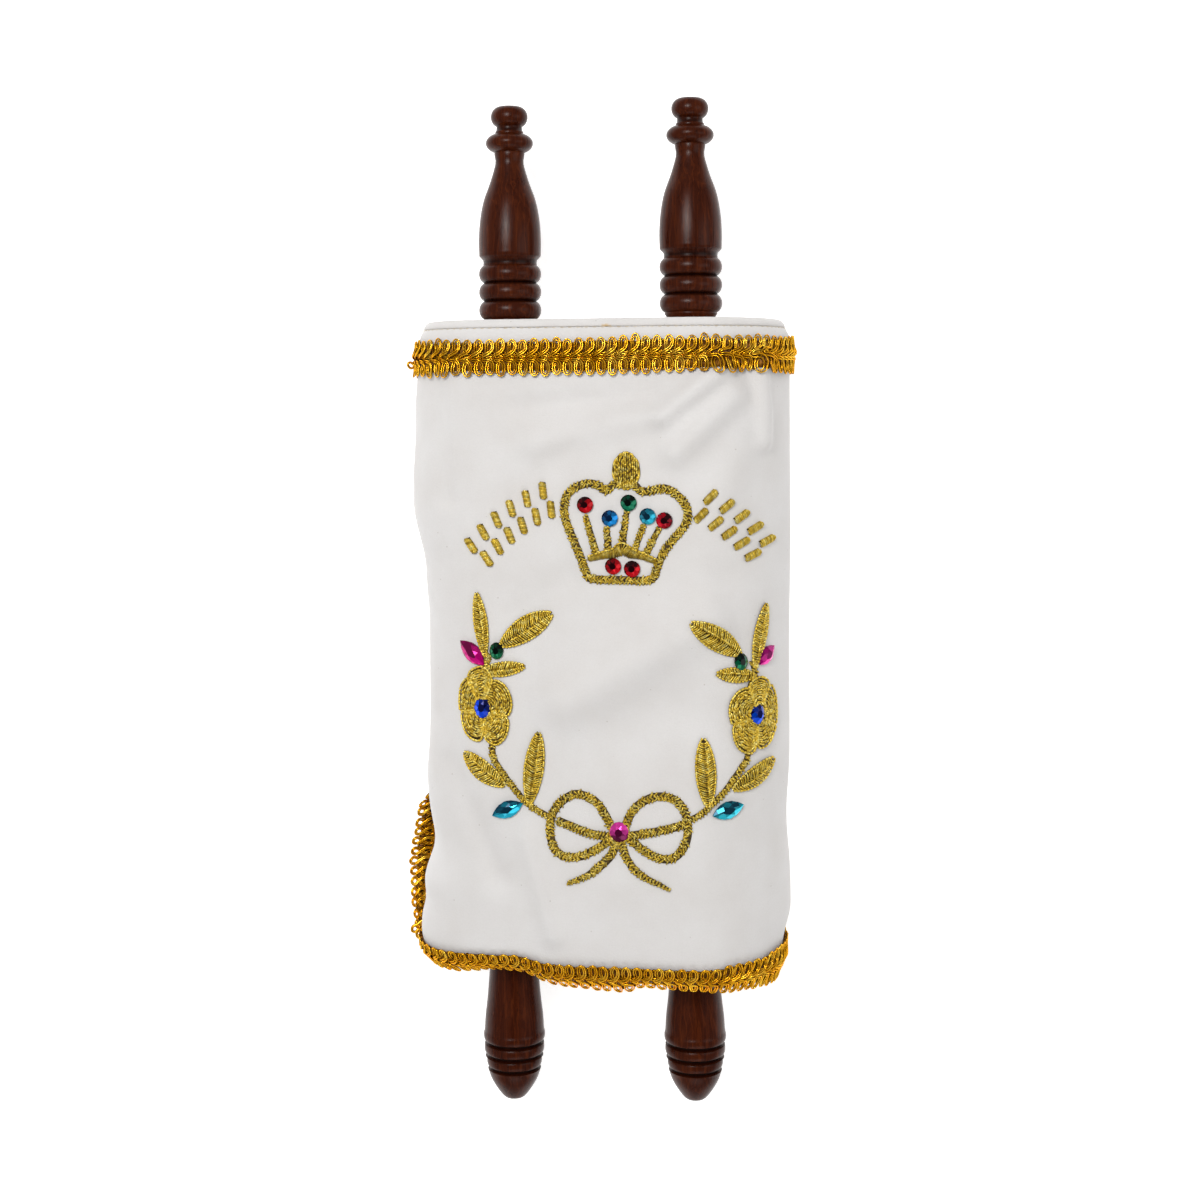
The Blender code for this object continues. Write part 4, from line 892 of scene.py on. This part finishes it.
# A curl is a radius and the knots of its path: one at the top's left end, one at the slit's foot
TOP_CURL = (0.5, (-69.5, 88.5, 38), (-71.2, 90.4, 38), (-72.3, 90.5, 38.4), (-72.6, 89.5, 38.4),
            (-71.6, 88.4, 38), (-70.4, 89.0, 37.6), (-69.5, 90.2, 37.4))
SLIT_CURL = (0.6, (-70.8, -127.6, 12.8), (-72.6, -129.0, 13.4), (-74.5, -130.0, 13.7),
             (-74.8, -131.6, 13.7), (-73.4, -132.1, 13.5), (-72.3, -131.0, 13.2), (-71.0, -131.6, 12.6))
# Shine sets how bright each braid is painted; the hem and the slit are painted brighter
braids = [
    sew_braid("gimp_round_top", "braid_top", top_face, GIRTH, BRAID_WIDTH / 2, (LOOPS, UNDER_LOOPS),
              STRANDS, core_reach=(-4.9, 4.9), shine=0.92, curl=TOP_CURL, closed=True),
    sew_braid("gimp_round_hem", "braid_hem", hem_face, GIRTH - HEM_BRAID_START, BRAID_WIDTH / 2,
              (LOOPS, UNDER_LOOPS), STRANDS, core_reach=(-5.4, 4.9), shine=1.25),
    sew_braid("gimp_down_slit", "braid_slit", slit_face, SLIT_BRAID_LENGTH, SLIT_REACH,
              (EYELETS, UNDER_EYELETS), SLIT_STRANDS, core_reach=(-5.6, 3.7), shine=1.2, curl=SLIT_CURL)]


# ------------------------------------------------------------------ embroidery
# Antique gold metallic thread, machine embroidered: each form is padded and then
# covered, and the padding is coloured dark as painted shade in the gaps.  Leaves are satin
# stitch on both sides of a midrib, petals are rows that follow their own edge, and
# outlines are bands of crossed stitches.

GROUND_X = np.arange(-64.0, 70.1, 1.0)
GROUND_Y = np.arange(-112.0, 72.1, 1.0)
GROUND_SAMPLES = 400
side_runs = np.linspace(RUNS[2] + CLOTH_RADIUS[1] * math.radians(90),
                        RUNS[4] + CLOTH_RADIUS[0] * math.radians(81), GROUND_SAMPLES)
ground_z = np.empty((len(GROUND_Y), len(GROUND_X)))
for row, y in enumerate(GROUND_Y):
    section = cloth(side_runs, y, 0, 0)
    ground_z[row] = np.interp(GROUND_X, section[::-1, 0], section[::-1, 2])
slope_y, slope_x = np.gradient(ground_z)


def on_ground(table, x, y):
    """Value of a table over the front cloth, between its grid points."""
    column = np.clip(x - GROUND_X[0], 0, len(GROUND_X) - 1.001)
    row = np.clip(y - GROUND_Y[0], 0, len(GROUND_Y) - 1.001)
    i, j = row.astype(int), column.astype(int)
    s, t = row - i, column - j
    near = table[i, j] * (1 - t) + table[i, j + 1] * t
    far = table[i + 1, j] * (1 - t) + table[i + 1, j + 1] * t
    return near * (1 - s) + far * s


def over_cloth(xy, height):
    """Points standing this high off the front cloth, with the cloth's normals there."""
    x, y = xy[..., 0], xy[..., 1]
    normals = unit(np.stack([-on_ground(slope_x, x, y), -on_ground(slope_y, x, y), np.ones_like(x)], -1))
    base = np.stack([x, y, on_ground(ground_z, x, y)], -1)
    return base + normals * np.asarray(height)[..., None], normals


def gilt_thread():
    """Antique gold metallic thread: flat metal wound on a core, painted olive on its sides as shade."""
    made, add, shader, place = start_material("gilt_thread", Metallic=0.7, Roughness=0.34)
    # Colour drifts every 1.4 mm; the metal turns once in 0.3 mm, a little coarser than real
    uneven = add("TexNoise", {"Vector": place, "Scale": 700.0, "Detail": 3.0})
    tone = add("ValToRGB", {"Fac": uneven}, ramp=[(0.3, 0xD0A82A), (0.5, 0xF2D04C), (0.7, 0xFFF090)])
    # Painted shade: olive-brown on each thread's sides and underside
    crest = add("Attribute", attribute_name="crest").outputs["Fac"]
    lit = add("MapRange", {"Value": crest, "From Min": 0.25})
    shaded_tone = add("Mix", {"Factor": lit, "A": 0x4A3206, "B": tone}, data_type="RGBA")
    glint = add("TexNoise", {"Vector": place, "Scale": 2600.0})
    rough = add("MapRange", {"Value": glint, "To Min": 0.18, "To Max": 0.55})
    bump = add("Bump", {"Height": twist_wave(add, 0.3), "Strength": 0.4, "Distance": 0.00004})
    plug(shader, {"Base Color": shaded_tone, "Roughness": rough, "Normal": bump})
    return made


def thread_underlay():
    """The padding under the gilt, seen only in the gaps, coloured dark as painted shade there."""
    made, add, shader, place = start_material("thread_underlay", Metallic=0.2, Roughness=0.7)
    # Lumps of yarn 0.8 mm apart
    uneven = add("TexNoise", {"Vector": place, "Scale": 1300.0, "Detail": 3.0})
    tone = add("ValToRGB", {"Fac": uneven}, ramp=[(0.35, 0x2C2008), (0.65, 0x5E4A18)])
    bump = add("Bump", {"Height": uneven, "Strength": 0.5, "Distance": 0.0002})
    plug(shader, {"Base Color": tone, "Normal": bump})
    return made


GILT, UNDERLAY = 0, 1
PAD_HEIGHT = 0.75
jitter = np.random.default_rng(5)


def lay_threads(work, starts, ends, low, crest, radius, shine=0.9, steps=5):
    """Straight stitches from starts to ends: they rise over the padding and dive at both ends."""
    starts, ends = np.asarray(starts, float), np.asarray(ends, float)
    t = np.linspace(0, 1, steps + 1)
    xy = starts[:, None] + (ends - starts)[:, None] * t[:, None]
    arch = np.sin(np.pi * t) ** 0.5
    low, crest = (np.broadcast_to(height, len(starts))[:, None] for height in (low, crest))
    points, normals = over_cloth(xy, low + (crest - low) * arch + jitter.normal(0, 0.05, (len(starts), 1)))
    taper = radius * np.clip(0.45 + np.minimum(t, 1 - t) * 4, 0.45, 1.0)
    # Each stitch gets its own strength of painted highlight
    glint = shine * jitter.uniform(0.72, 1.2, (len(starts), 1, 1))
    work.add(*tubes(points, normals, taper, 5, GILT, glint))


def lay_cord(work, line, height, radius, closed=False, beat=0.0, shine=1.1):
    """One thread couched along a line; the couching stitches nip it every so often."""
    line = np.asarray(line, float)
    if closed:
        line = np.vstack([line, line[:2]])
    run = np.concatenate([[0], np.cumsum(np.linalg.norm(np.diff(line, axis=0), axis=1))])
    points, normals = over_cloth(line, np.broadcast_to(height, run.shape))
    nips = np.sin(run * math.tau / 1.25 + jitter.uniform(0, 6))
    swell = 1 + beat * nips + jitter.normal(0, beat / 4, len(run))
    # The cord is painted brighter where it swells
    glint = shine * (0.9 + 0.5 * (swell - 1) / max(beat, 0.1))[:, None]
    work.add(*tubes(points[None], normals[None], radius * swell, 6, GILT, glint))


def lay_broken_row(work, row, height, radius, shine=0.95):
    """Stitches end to end along a row, each a little askew, so that pits stay between them."""
    run = np.concatenate([[0], np.cumsum(np.linalg.norm(np.diff(row, axis=0), axis=1))])
    cuts = np.cumsum(jitter.uniform(1.1, 2.3, int(run[-1] / 1.1) + 2)) - jitter.uniform(0, 1.5)
    cuts = np.concatenate([[0], cuts[(cuts > 0.4) & (cuts < run[-1] - 0.4)], [run[-1]]])
    places = np.stack([np.interp(cuts, run, row[:, k]) for k in (0, 1)], -1)
    askew = jitter.normal(0, 0.13, (2, len(cuts) - 1, 2))
    lay_threads(work, places[:-1] + askew[0], places[1:] + askew[1], height - 0.35,
                height + 0.05 + jitter.normal(0, 0.07, len(cuts) - 1), radius, shine)


def lay_pad(work, xy, height):
    """Padding: a grid of places (rows, columns, xy) and how high each stands."""
    work.add(over_cloth(xy, height)[0], grid_faces(*xy.shape[:2]), UNDERLAY)


PAD_ACROSS = np.array([-1.0, -0.97, -0.75, -0.35, 0.0, 0.35, 0.75, 0.97, 1.0])
PAD_PROFILE = np.array([-0.25, 0.2, 0.5, 0.66, 0.7, 0.66, 0.5, 0.2, -0.25])


def sides_of(line, closed=False):
    """Unit vectors to the left of each point of a line, and ahead along it."""
    ahead = np.roll(line, -1, 0) - np.roll(line, 1, 0) if closed else np.gradient(line, axis=0)
    ahead = unit(ahead)
    return np.stack([-ahead[:, 1], ahead[:, 0]], -1), ahead


def padded_line(work, knots, widths, closed):
    """Padding along a curve: the line, its left side and heading, and its half width there."""
    line = smooth_curve(knots, 0.25, closed)
    left, ahead = sides_of(line, closed)
    share = np.linspace(0, 1, len(line))
    half = np.interp(share, np.linspace(0, 1, len(widths)), widths)[:, None] / 2
    at = np.arange(0, len(line), 4)
    at = np.append(at, 0 if closed else len(line) - 1)
    lay_pad(work, line[at, None] + left[at, None] * PAD_ACROSS[:, None] * half[at, None] * 0.9,
            np.broadcast_to(PAD_PROFILE * PAD_HEIGHT, (len(at), len(PAD_ACROSS))))
    return line, left, ahead, half


# Rows of a band's stitches: place across it, slant to left or right, height
BAND_ROWS = ((-0.62, 1, 0.7), (0.62, 1, 0.7), (-0.02, -1, 0.95), (0.3, 1, 0.85), (-0.34, -1, 0.85))


def crossed_band(work, knots, *widths, closed=False):
    """An outline band: short slanted stitches in uneven rows that cross, with pits between."""
    line, left, ahead, half = padded_line(work, knots, widths, closed)
    for place, slant, height in BAND_ROWS:
        at = np.arange(jitter.integers(0, 5), len(line), 5)
        at = at[jitter.random(len(at)) > 0.16]
        turn = np.radians(jitter.normal(50, 11, (len(at), 1)))
        lay = ahead[at] * np.cos(turn) + left[at] * slant * np.sin(turn)
        reach = half[at] * jitter.uniform(0.42, 0.62, (len(at), 1))
        middle = line[at] + left[at] * half[at] * place + jitter.normal(0, 0.1, (len(at), 2))
        lay_threads(work, middle - lay * reach, middle + lay * reach, low=0.25, crest=height, radius=0.34)


def satin_leaf(work, base, tip, width, bend=0.0):
    """A leaf: satin stitch slanting from a sunk midrib, inside a raised couched edge."""
    base, tip = np.array(base, float), np.array(tip, float)
    length = np.linalg.norm(tip - base)
    along = (tip - base) / length
    across = np.array([-along[1], along[0]])

    def leaf_place(share, side):
        out = width / 2 * np.sin(np.pi * share ** 1.05) ** 0.62 * side + bend * np.sin(np.pi * share)
        return base + along * (length * share)[..., None] + across * out[..., None]

    rows = np.linspace(0.0, 1.0, 22)[:, None]
    groove = np.array([-0.25, 0.3, 0.7, 0.75, 0.6, 0.75, 0.7, 0.3, -0.25])
    lay_pad(work, leaf_place(0.03 + 0.94 * rows, PAD_ACROSS * 0.9),
            groove * PAD_HEIGHT * (0.55 + 0.45 * np.sin(np.pi * rows)))
    shares = np.arange(0.02, 0.95, 0.78 / length)
    shares = shares + jitter.normal(0, 0.05 / length, len(shares))
    for hand in (1, -1):
        ends = np.minimum(shares + 0.25 * width / length * np.sin(np.pi * shares), 0.99)
        crest = 0.72 + 0.3 * np.sin(np.pi * shares) + jitter.normal(0, 0.06, len(shares))
        lay_threads(work, leaf_place(shares, hand * jitter.uniform(-0.22, 0.06, len(shares))),
                    leaf_place(ends, hand * np.full(len(ends), 0.93)), low=0.45, crest=crest,
                    radius=0.37, shine=0.96)
        edge = leaf_place(np.linspace(0.005, 0.995, 60), np.full(60, hand * 0.97))
        lay_cord(work, edge, height=0.7, radius=0.42, beat=0.3, shine=1.2)
    inner = leaf_place(np.linspace(0.2, 0.85, 30), np.full(30, -0.25))
    lay_broken_row(work, inner, height=1.0, radius=0.4, shine=1.25)


def fan_petal(work, heart, rim, lift):
    """A petal spread from the heart: rows of stitches that repeat its rim, closing inwards."""
    heart = np.array(heart, float)
    turns = np.radians([turn for turn, reach in rim])
    reaches = np.array([reach for turn, reach in rim])
    knots = heart + np.stack([np.cos(turns), np.sin(turns)], -1) * reaches[:, None]
    edge = smooth_curve(knots, 0.55)
    middle = heart + (edge.mean(0) - heart) * 0.62
    shares = np.array([1.0, 0.97, 0.86, 0.6, 0.3, 0.05])[:, None]
    side = np.minimum(1.0, np.minimum(np.arange(len(edge)), np.arange(len(edge))[::-1]) / 2.0)
    swell = np.array([-0.3, 0.25, 0.7, 0.8, 0.8, 0.5])[:, None]
    height = lift + PAD_HEIGHT * (swell * side - 0.3 * (1 - side))
    lay_pad(work, heart + (edge - heart) * shares[..., None], height)
    for share in np.arange(1 - 0.8 / reaches.mean(), 0.2, -0.76 / reaches.mean()):
        row = middle + (heart + (edge - heart) * share - middle) * 0.95
        lay_broken_row(work, row, height=lift + PAD_HEIGHT, radius=0.43, shine=1.0)
    flank = [heart + (knot - heart) * 0.35 for knot in (knots[0], knots[-1])]
    outline = smooth_curve([flank[0], *knots, flank[1]], 0.5)
    lay_cord(work, middle + (outline - middle) * 0.97, height=lift + 0.85, radius=0.46, beat=0.25,
             shine=1.3)


def ribbed_finial(work, centre, width, length):
    """The crown's egg-shaped finial: upright ribs of short stitches inside a couched edge."""
    def egg(share, turn):
        across, up = np.sin(turn) * share, np.cos(turn) * share
        narrow = 1 - 0.13 * up * up
        return np.array(centre) + np.stack([across * narrow * width / 2, up * length / 2 + 0 * turn], -1)

    turns = np.linspace(0, math.tau, 41)
    shares = np.array([1.0, 0.97, 0.85, 0.6, 0.3, 0.02])[:, None]
    height = PAD_HEIGHT * np.array([-0.3, 0.3, 0.7, 0.85, 0.9, 0.9])[:, None]
    lay_pad(work, egg(shares, turns), height + 0 * turns)
    for rib in np.linspace(-0.84, 0.84, 11):
        reach = math.sqrt(1 - rib * rib) * 0.95
        up = np.linspace(-reach, reach, 30)
        line = egg(np.hypot(rib, up), np.arctan2(np.full(30, rib), up))
        lay_broken_row(work, line, height=0.8 + 0.2 * (1 - rib * rib), radius=0.4)
    lay_cord(work, egg(np.ones(40), turns[:-1]), height=0.55, radius=0.42, closed=True, beat=0.3)


def satin_bar(work, knots, *widths, shine=0.95, ridge=0.0):
    """A padded bar of satin stitch, sewn straight across, rounded at both ends."""
    line, left, ahead, half = padded_line(work, knots, widths, False)
    at = np.arange(0, len(line), 2)
    to_end = np.minimum(at, len(line) - 1 - at) * 0.25
    blunt = np.sqrt(1 - (1 - np.clip(to_end / 0.9, 0, 1)) ** 2)[:, None] * 0.45 + 0.55
    reach = half[at] * blunt * (1 + jitter.normal(0, 0.03, (len(at), 1)))
    slant = ahead[at] * reach * 0.25
    lay_threads(work, line[at] - left[at] * reach - slant, line[at] + left[at] * reach + slant, low=0.15,
                crest=1.1 + jitter.normal(0, 0.06, len(at)), radius=0.31, shine=shine)
    if ridge:
        lay_cord(work, line + left * half * 0.85, height=ridge, radius=0.34, beat=0.2, shine=1.3)


# Every embroidered piece's slot and its two finishes
gold_embroidery = "gold_thread", gilt_thread(), thread_underlay()

# The crown: a lobed outline, five rays, a gabled headband, and an egg-shaped finial
CROWN_OUTLINE = ((8.2, 45.4), (4.8, 45.6), (2.2, 43.2), (-0.8, 45.2), (-4.6, 45.9), (-9.2, 44.3),
                 (-12.4, 41.0), (-13.2, 36.3), (-12.3, 31.5), (-8.4, 21.8), (-5.5, 14.2), (-3.8, 11.5),
                 (6.8, 11.1), (17.5, 11.2), (19.5, 13.9), (21.8, 19.7), (24.9, 24.6), (29.0, 29.4),
                 (31.0, 33.0), (31.0, 36.8), (29.0, 40.2), (26.0, 42.9), (22.5, 44.2), (15.2, 43.0),
                 (11.8, 45.7))
CROWN_RAYS = (((-1.6, 20.4), (-5.6, 34.3), 3.0), ((2.7, 22.0), (2.1, 30.4), 3.2),
              ((7.7, 24.6), (9.4, 36.0), 3.0), ((12.2, 22.2), (15.5, 31.0), 2.5),
              ((16.1, 20.4), (21.2, 30.4), 3.1))
HEADBAND = ((-4.4, 18.7), (1.0, 20.1), (5.0, 20.9), (7.0, 22.2), (7.8, 22.5), (8.6, 22.2), (10.6, 20.9),
            (14.4, 20.0), (19.8, 17.9))
crown = Work()
for start, end, width in CROWN_RAYS:
    crossed_band(crown, [start, end], width, 2.3)
crossed_band(crown, CROWN_OUTLINE, 3.3, closed=True)
satin_bar(crown, HEADBAND, 2.2, 3.2, 5.0, 3.2, 2.2, shine=0.7, ridge=1.3)
ribbed_finial(crown, (9.3, 50.5), 9.5, 13.3)
crown.finish_piece("embroidered_crown", "crown", *gold_embroidery)

# The wreath's two sprays.  Leaves: base, tip, width and sideways bend.  A petal's rim:
# headings from the flower's heart in degrees, and its reach there
SPRAYS = {
    "left": {
        "leaves": (((-42.3, -17.5), (-45.3, 6.0), 4.7, 0.0), ((-36.9, -13.4), (-17.6, -1.3), 8.3, 0.3),
                   ((-44.5, -23.0), (-27.7, -20.6), 5.0, 0.0), ((-35.3, -64.3), (-50.1, -52.7), 6.9, 0.8),
                   ((-26.6, -71.2), (-22.8, -44.2), 6.9, 0.0)),
        "heart": (-43.3, -36.3),
        "petals": (((192, 7.6), (218, 9.4), (239, 11.4), (257, 12.2), (269, 10.9)),
                   ((274, 10.4), (283, 12.9), (292, 14.1), (307, 13.4), (323, 11.7), (341, 9.4)),
                   ((103, 10.9), (117, 12.3), (133, 11.3), (151, 9.6), (177, 8.5), (190, 7.8)),
                   ((-16, 9.2), (4, 10.7), (26, 11.4), (47, 12.0), (66, 11.7), (81, 9.2)),
                   ((119, 10.0), (110, 13.8), (99, 15.2), (88, 15.5), (78, 13.4), (70, 10.4))),
        "stem": ((-41.1, -16.4), (-42.0, -24.0), (-40.2, -48.0), (-39.4, -54.5), (-35.4, -60.7),
                 (-31.7, -65.6), (-28.1, -69.6), (-24.4, -72.4), (-19.0, -75.2)),
    },
    "right": {
        "leaves": (((54.9, -21.5), (59.6, 1.9), 4.5, 0.0), ((50.0, -16.2), (31.8, -3.5), 8.0, -0.4),
                   ((55.4, -24.0), (41.0, -22.3), 5.1, 0.0), ((46.6, -64.3), (62.4, -54.8), 6.7, -0.9),
                   ((37.9, -70.4), (36.3, -45.3), 7.0, 0.0)),
        "heart": (56.0, -38.2),
        "petals": (((198, 9.2), (217, 11.4), (234, 13.2), (247, 14.0), (259, 14.0), (266, 11.6)),
                   ((269, 11.4), (280, 12.4), (293, 11.5), (310, 9.6), (324, 8.2)),
                   ((108, 10.2), (123, 11.7), (143, 11.6), (162, 11.1), (184, 10.3), (196, 9.3)),
                   ((-35, 8.0), (-10, 7.3), (10, 7.3), (31, 8.2), (53, 10.3), (66, 11.2)),
                   ((110, 9.2), (107, 11.6), (98, 13.2), (87, 13.9), (75, 13.0), (67, 10.4))),
        "stem": ((54.4, -18.5), (55.3, -25.0), (52.8, -51.0), (50.4, -56.3), (47.2, -60.5), (43.5, -65.2),
                 (38.9, -69.5), (35.8, -72.3), (30.8, -75.0)),
    },
}
for side, spray in SPRAYS.items():
    work = Work()
    crossed_band(work, spray["stem"], 2.5)
    for base, tip, width, bend in spray["leaves"]:
        satin_leaf(work, base, tip, width, bend)
    # Each petal lies a little over the one before it, and the last lies over them all
    for number, rim in enumerate(spray["petals"]):
        fan_petal(work, spray["heart"], rim, 0.35 if number == 4 else 0.05 * number)
    work.finish_piece(f"embroidered_spray_{side}", f"wreath_{side}", *gold_embroidery)

# The bow: two ribbon ends, two tails that narrow, and two loops, crossed under the knot's stone
BOW_WIDTH = 3.4
BOW = ((((-16.3, -76.3), (-11.0, -78.3), (-4.5, -80.6), (3.5, -81.9)), BOW_WIDTH),
       (((29.3, -76.3), (23.5, -78.2), (17.0, -79.7), (9.0, -81.2)), BOW_WIDTH),
       (((5.4, -83.2), (4.6, -85.0), (2.7, -88.7), (-1.0, -92.4), (-5.3, -95.8), (-9.7, -97.8),
         (-12.6, -98.9)), BOW_WIDTH, 3.5, 1.6),
       (((6.8, -83.0), (7.2, -85.0), (8.8, -89.5), (12.0, -93.7), (16.2, -96.4), (20.5, -98.2),
         (23.9, -99.9)), BOW_WIDTH, 3.2, 1.3),
       (((4.4, -80.5), (3.1, -77.8), (0.6, -72.9), (-3.0, -68.6), (-9.3, -66.5), (-14.6, -69.3),
         (-18.2, -74.2), (-19.0, -80.4), (-17.6, -86.2), (-14.2, -89.1), (-8.2, -89.1), (-2.4, -86.3),
         (3.6, -82.2)), BOW_WIDTH),
       (((7.8, -80.0), (8.6, -76.6), (11.4, -71.4), (16.2, -67.7), (21.5, -66.5), (27.0, -68.2),
         (29.9, -73.0), (30.6, -78.7), (29.5, -83.7), (26.3, -87.9), (22.0, -89.0), (16.3, -87.1),
         (8.8, -81.6)), BOW_WIDTH))
bow = Work()
for knots, *widths in BOW:
    crossed_band(bow, knots, *widths)
bow.finish_piece("embroidered_bow", "bow", *gold_embroidery)

# Two short rows of plain slanted bars on an arc at each side of the crown
ARC_CENTRE = np.array([7.0, -21.0])
ARC_ROWS = (("left_upper", 141.0, 113.5, 6, 70.0), ("left_lower", 141.0, 113.5, 6, 62.6),
            ("right_upper", 62.5, 40.5, 5, 70.0), ("right_lower", 62.5, 40.5, 5, 62.6))
for row, first, last, count, radius in ARC_ROWS:
    for k in range(count):
        turn = math.radians(first + (last - first) * k / (count - 1))
        out = np.array([math.cos(turn), math.sin(turn)])
        slant = np.array([out[1], -out[0]]) * 0.9
        middle = ARC_CENTRE + out * radius
        bar = Work()
        satin_bar(bar, [middle - out * 2.8 - slant, middle, middle + out * 2.8 + slant], 2.8, 2.8)
        bar.finish_piece(f"satin_bar_{row}_{k + 1}", f"stroke_{row}_{k + 1}", *gold_embroidery)


# ------------------------------------------------------------------ stones
# Glass rhinestones with flat foiled backs, glued on.  Each facet's brightness is painted:
# lit toward one side, and the table painted dark as a reflection.
# Round and oval ones are cut like brilliants under a small table; the pointed ones
# have the same facets drawn out along their length.

STONE_SEAT = 0.5
# Facets up a stone: number round it, offset of the first, share of the outline, height
GIRDLE_FOOT, GIRDLE = (16, 0.0, 1.0, 0.0), (16, 0.0, 1.0, 0.5)
MAINS, TABLE = (8, 0.5, 0.74, 1.25), (8, 0.0, 0.4, 1.75)
# name: place, outline, heading (of a round one's painted bright side), foil colour in its painted light and
# painted shade
STONES = {
    "ruby_crown_left": ((-5.5, 38.2), (6.0, 6.0), -48, 0xE60018, 0x2A0006),
    "ruby_crown_right": ((22.9, 32.8), (6.0, 6.0), -140, 0xDE0026, 0x2A0008),
    "ruby_headband_left": ((4.5, 16.1), (6.0, 6.0), -44, 0xE60018, 0x2A0006),
    "ruby_headband_right": ((11.3, 15.2), (6.0, 6.0), -62, 0xE0001A, 0x2A0006),
    "azure_crown_left": ((3.4, 33.4), (6.0, 6.0), -30, 0x1CA0FA, 0x04284E),
    "azure_crown_right": ((17.0, 34.2), (6.0, 6.0), -46, 0x34D0F4, 0x04344A),
    "emerald_crown": ((10.2, 39.0), (6.0, 6.0), -80, 0x0A8A62, 0x000E0A),
    "emerald_leaf_left": ((-38.1, -15.1), (5.2, 6.2), -90, 0x067A50, 0x000C08),
    "emerald_leaf_right": ((49.9, -18.5), (5.4, 6.2), -65, 0x067A52, 0x000E0A),
    "sapphire_flower_left": ((-43.3, -35.9), (6.2, 7.7), -120, 0x0A50FF, 0x020A4A),
    "sapphire_flower_right": ((55.9, -37.8), (6.2, 7.7), -60, 0x0C5AFF, 0x020C54),
    "magenta_bow": ((6.1, -79.6), (7.0, 7.3), 100, 0xFF4ABC, 0x5C0438),
    "magenta_leaf_left": ((-46.9, -16.1), (13.0, 6.5), 139, 0xF60A98, 0x7A0448),
    "magenta_leaf_right": ((59.6, -17.0), (10.2, 5.8), 38, 0xF414A4, 0x84065A),
    "aqua_leaf_left": ((-34.4, -72.7), (12.4, 6.2), 23, 0x2CD0F2, 0x023C54),
    "aqua_leaf_right": ((44.9, -71.4), (12.4, 6.4), 16, 0x34DCF4, 0x023C50),
}


def foiled_glass(name, light, dark):
    """Clear coloured glass over foil: each facet gets its own painted share of light, from painted shade to
    painted highlight.
    """
    made, add, shader, place = start_material(name, Metallic=0.55, Roughness=0.12, Specular_IOR_Level=0.15,
                                              Coat_Weight=0.3, Coat_Roughness=0.02)
    # Each facet's painted share of light, with places of wear in the foil every millimetre
    facet = add("Attribute", attribute_name="run").outputs["Fac"]
    wear = add("TexNoise", {"Vector": place, "Scale": 900.0})
    mixed = add("Math", {0: wear, 1: 0.25, 2: facet}, operation="MULTIPLY_ADD")
    plug(shader, {"Base Color": add("ValToRGB", {"Fac": mixed}, ramp=[(0.15, dark), (1.0, light)])})
    return made


def cut_stone(place, size, heading):
    """Every facet as its own face, with its painted share of light."""
    seat, normal = over_cloth(np.array([place]), [STONE_SEAT])
    beside = unit(np.cross([0.0, 1.0, 0.0], normal[0]))
    onward = np.cross(normal[0], beside)
    pointed = max(size) > 1.5 * min(size)
    rings = []
    for count, offset, share, height in (GIRDLE_FOOT, GIRDLE, MAINS, TABLE):
        turns = (np.arange(count) + offset) * math.tau / count
        across = np.sin(turns) * (np.abs(np.sin(turns)) if pointed else 1)
        flat = np.stack([np.cos(turns) * size[0] / 2, across * size[1] / 2]) * share
        turn = math.radians(heading if pointed else 0.0)
        x = flat[0] * math.cos(turn) - flat[1] * math.sin(turn)
        y = flat[0] * math.sin(turn) + flat[1] * math.cos(turn)
        rings.append(seat[0] + np.outer(x, beside) + np.outer(y, onward) + normal[0] * height)
    foot, girdle, mains, table = rings
    facets = [table, foot[::-1]]
    # Painted light per facet: the table painted dark as a reflection, the foot unlit
    glow = [-0.5, 0.0]
    for k in range(8):
        low, high, after = 2 * k, 2 * k + 1, (2 * k + 2) % 16
        facets += [[table[k], mains[k], table[(k + 1) % 8]], [table[k], mains[k - 1], girdle[low], mains[k]],
                   [girdle[low], girdle[high], mains[k]], [girdle[high], girdle[after], mains[k]],
                   [foot[low], foot[high], girdle[high], girdle[low]],
                   [foot[high], foot[after], girdle[after], girdle[high]]]
        # Facets on one side are painted bright, those across from them painted dark
        toward = math.cos(math.tau * (k + 0.5) / 8 - math.radians(-50 - heading if pointed else heading))
        glow += [0.35 + 0.5 * toward, 0.5 + 0.45 * toward, 0.4 + 0.45 * toward, 0.25 + 0.45 * toward]
        glow += [0.0, 0.0]
    return zip(facets, glow)


for name, (place, size, heading, light, dark) in STONES.items():
    work = Work()
    cut = np.random.default_rng(heading + 360)
    for facet, glow in cut_stone(place, size, heading):
        work.add(facet, [tuple(range(len(facet)))], 0, glow + cut.uniform(-0.22, 0.22))
    work.finish_piece(f"rhinestone_{name}", f"stone_{name}", "stone_" + name.split("_")[0],
                      foiled_glass(f"foiled_{name}", light, dark), crease=2)
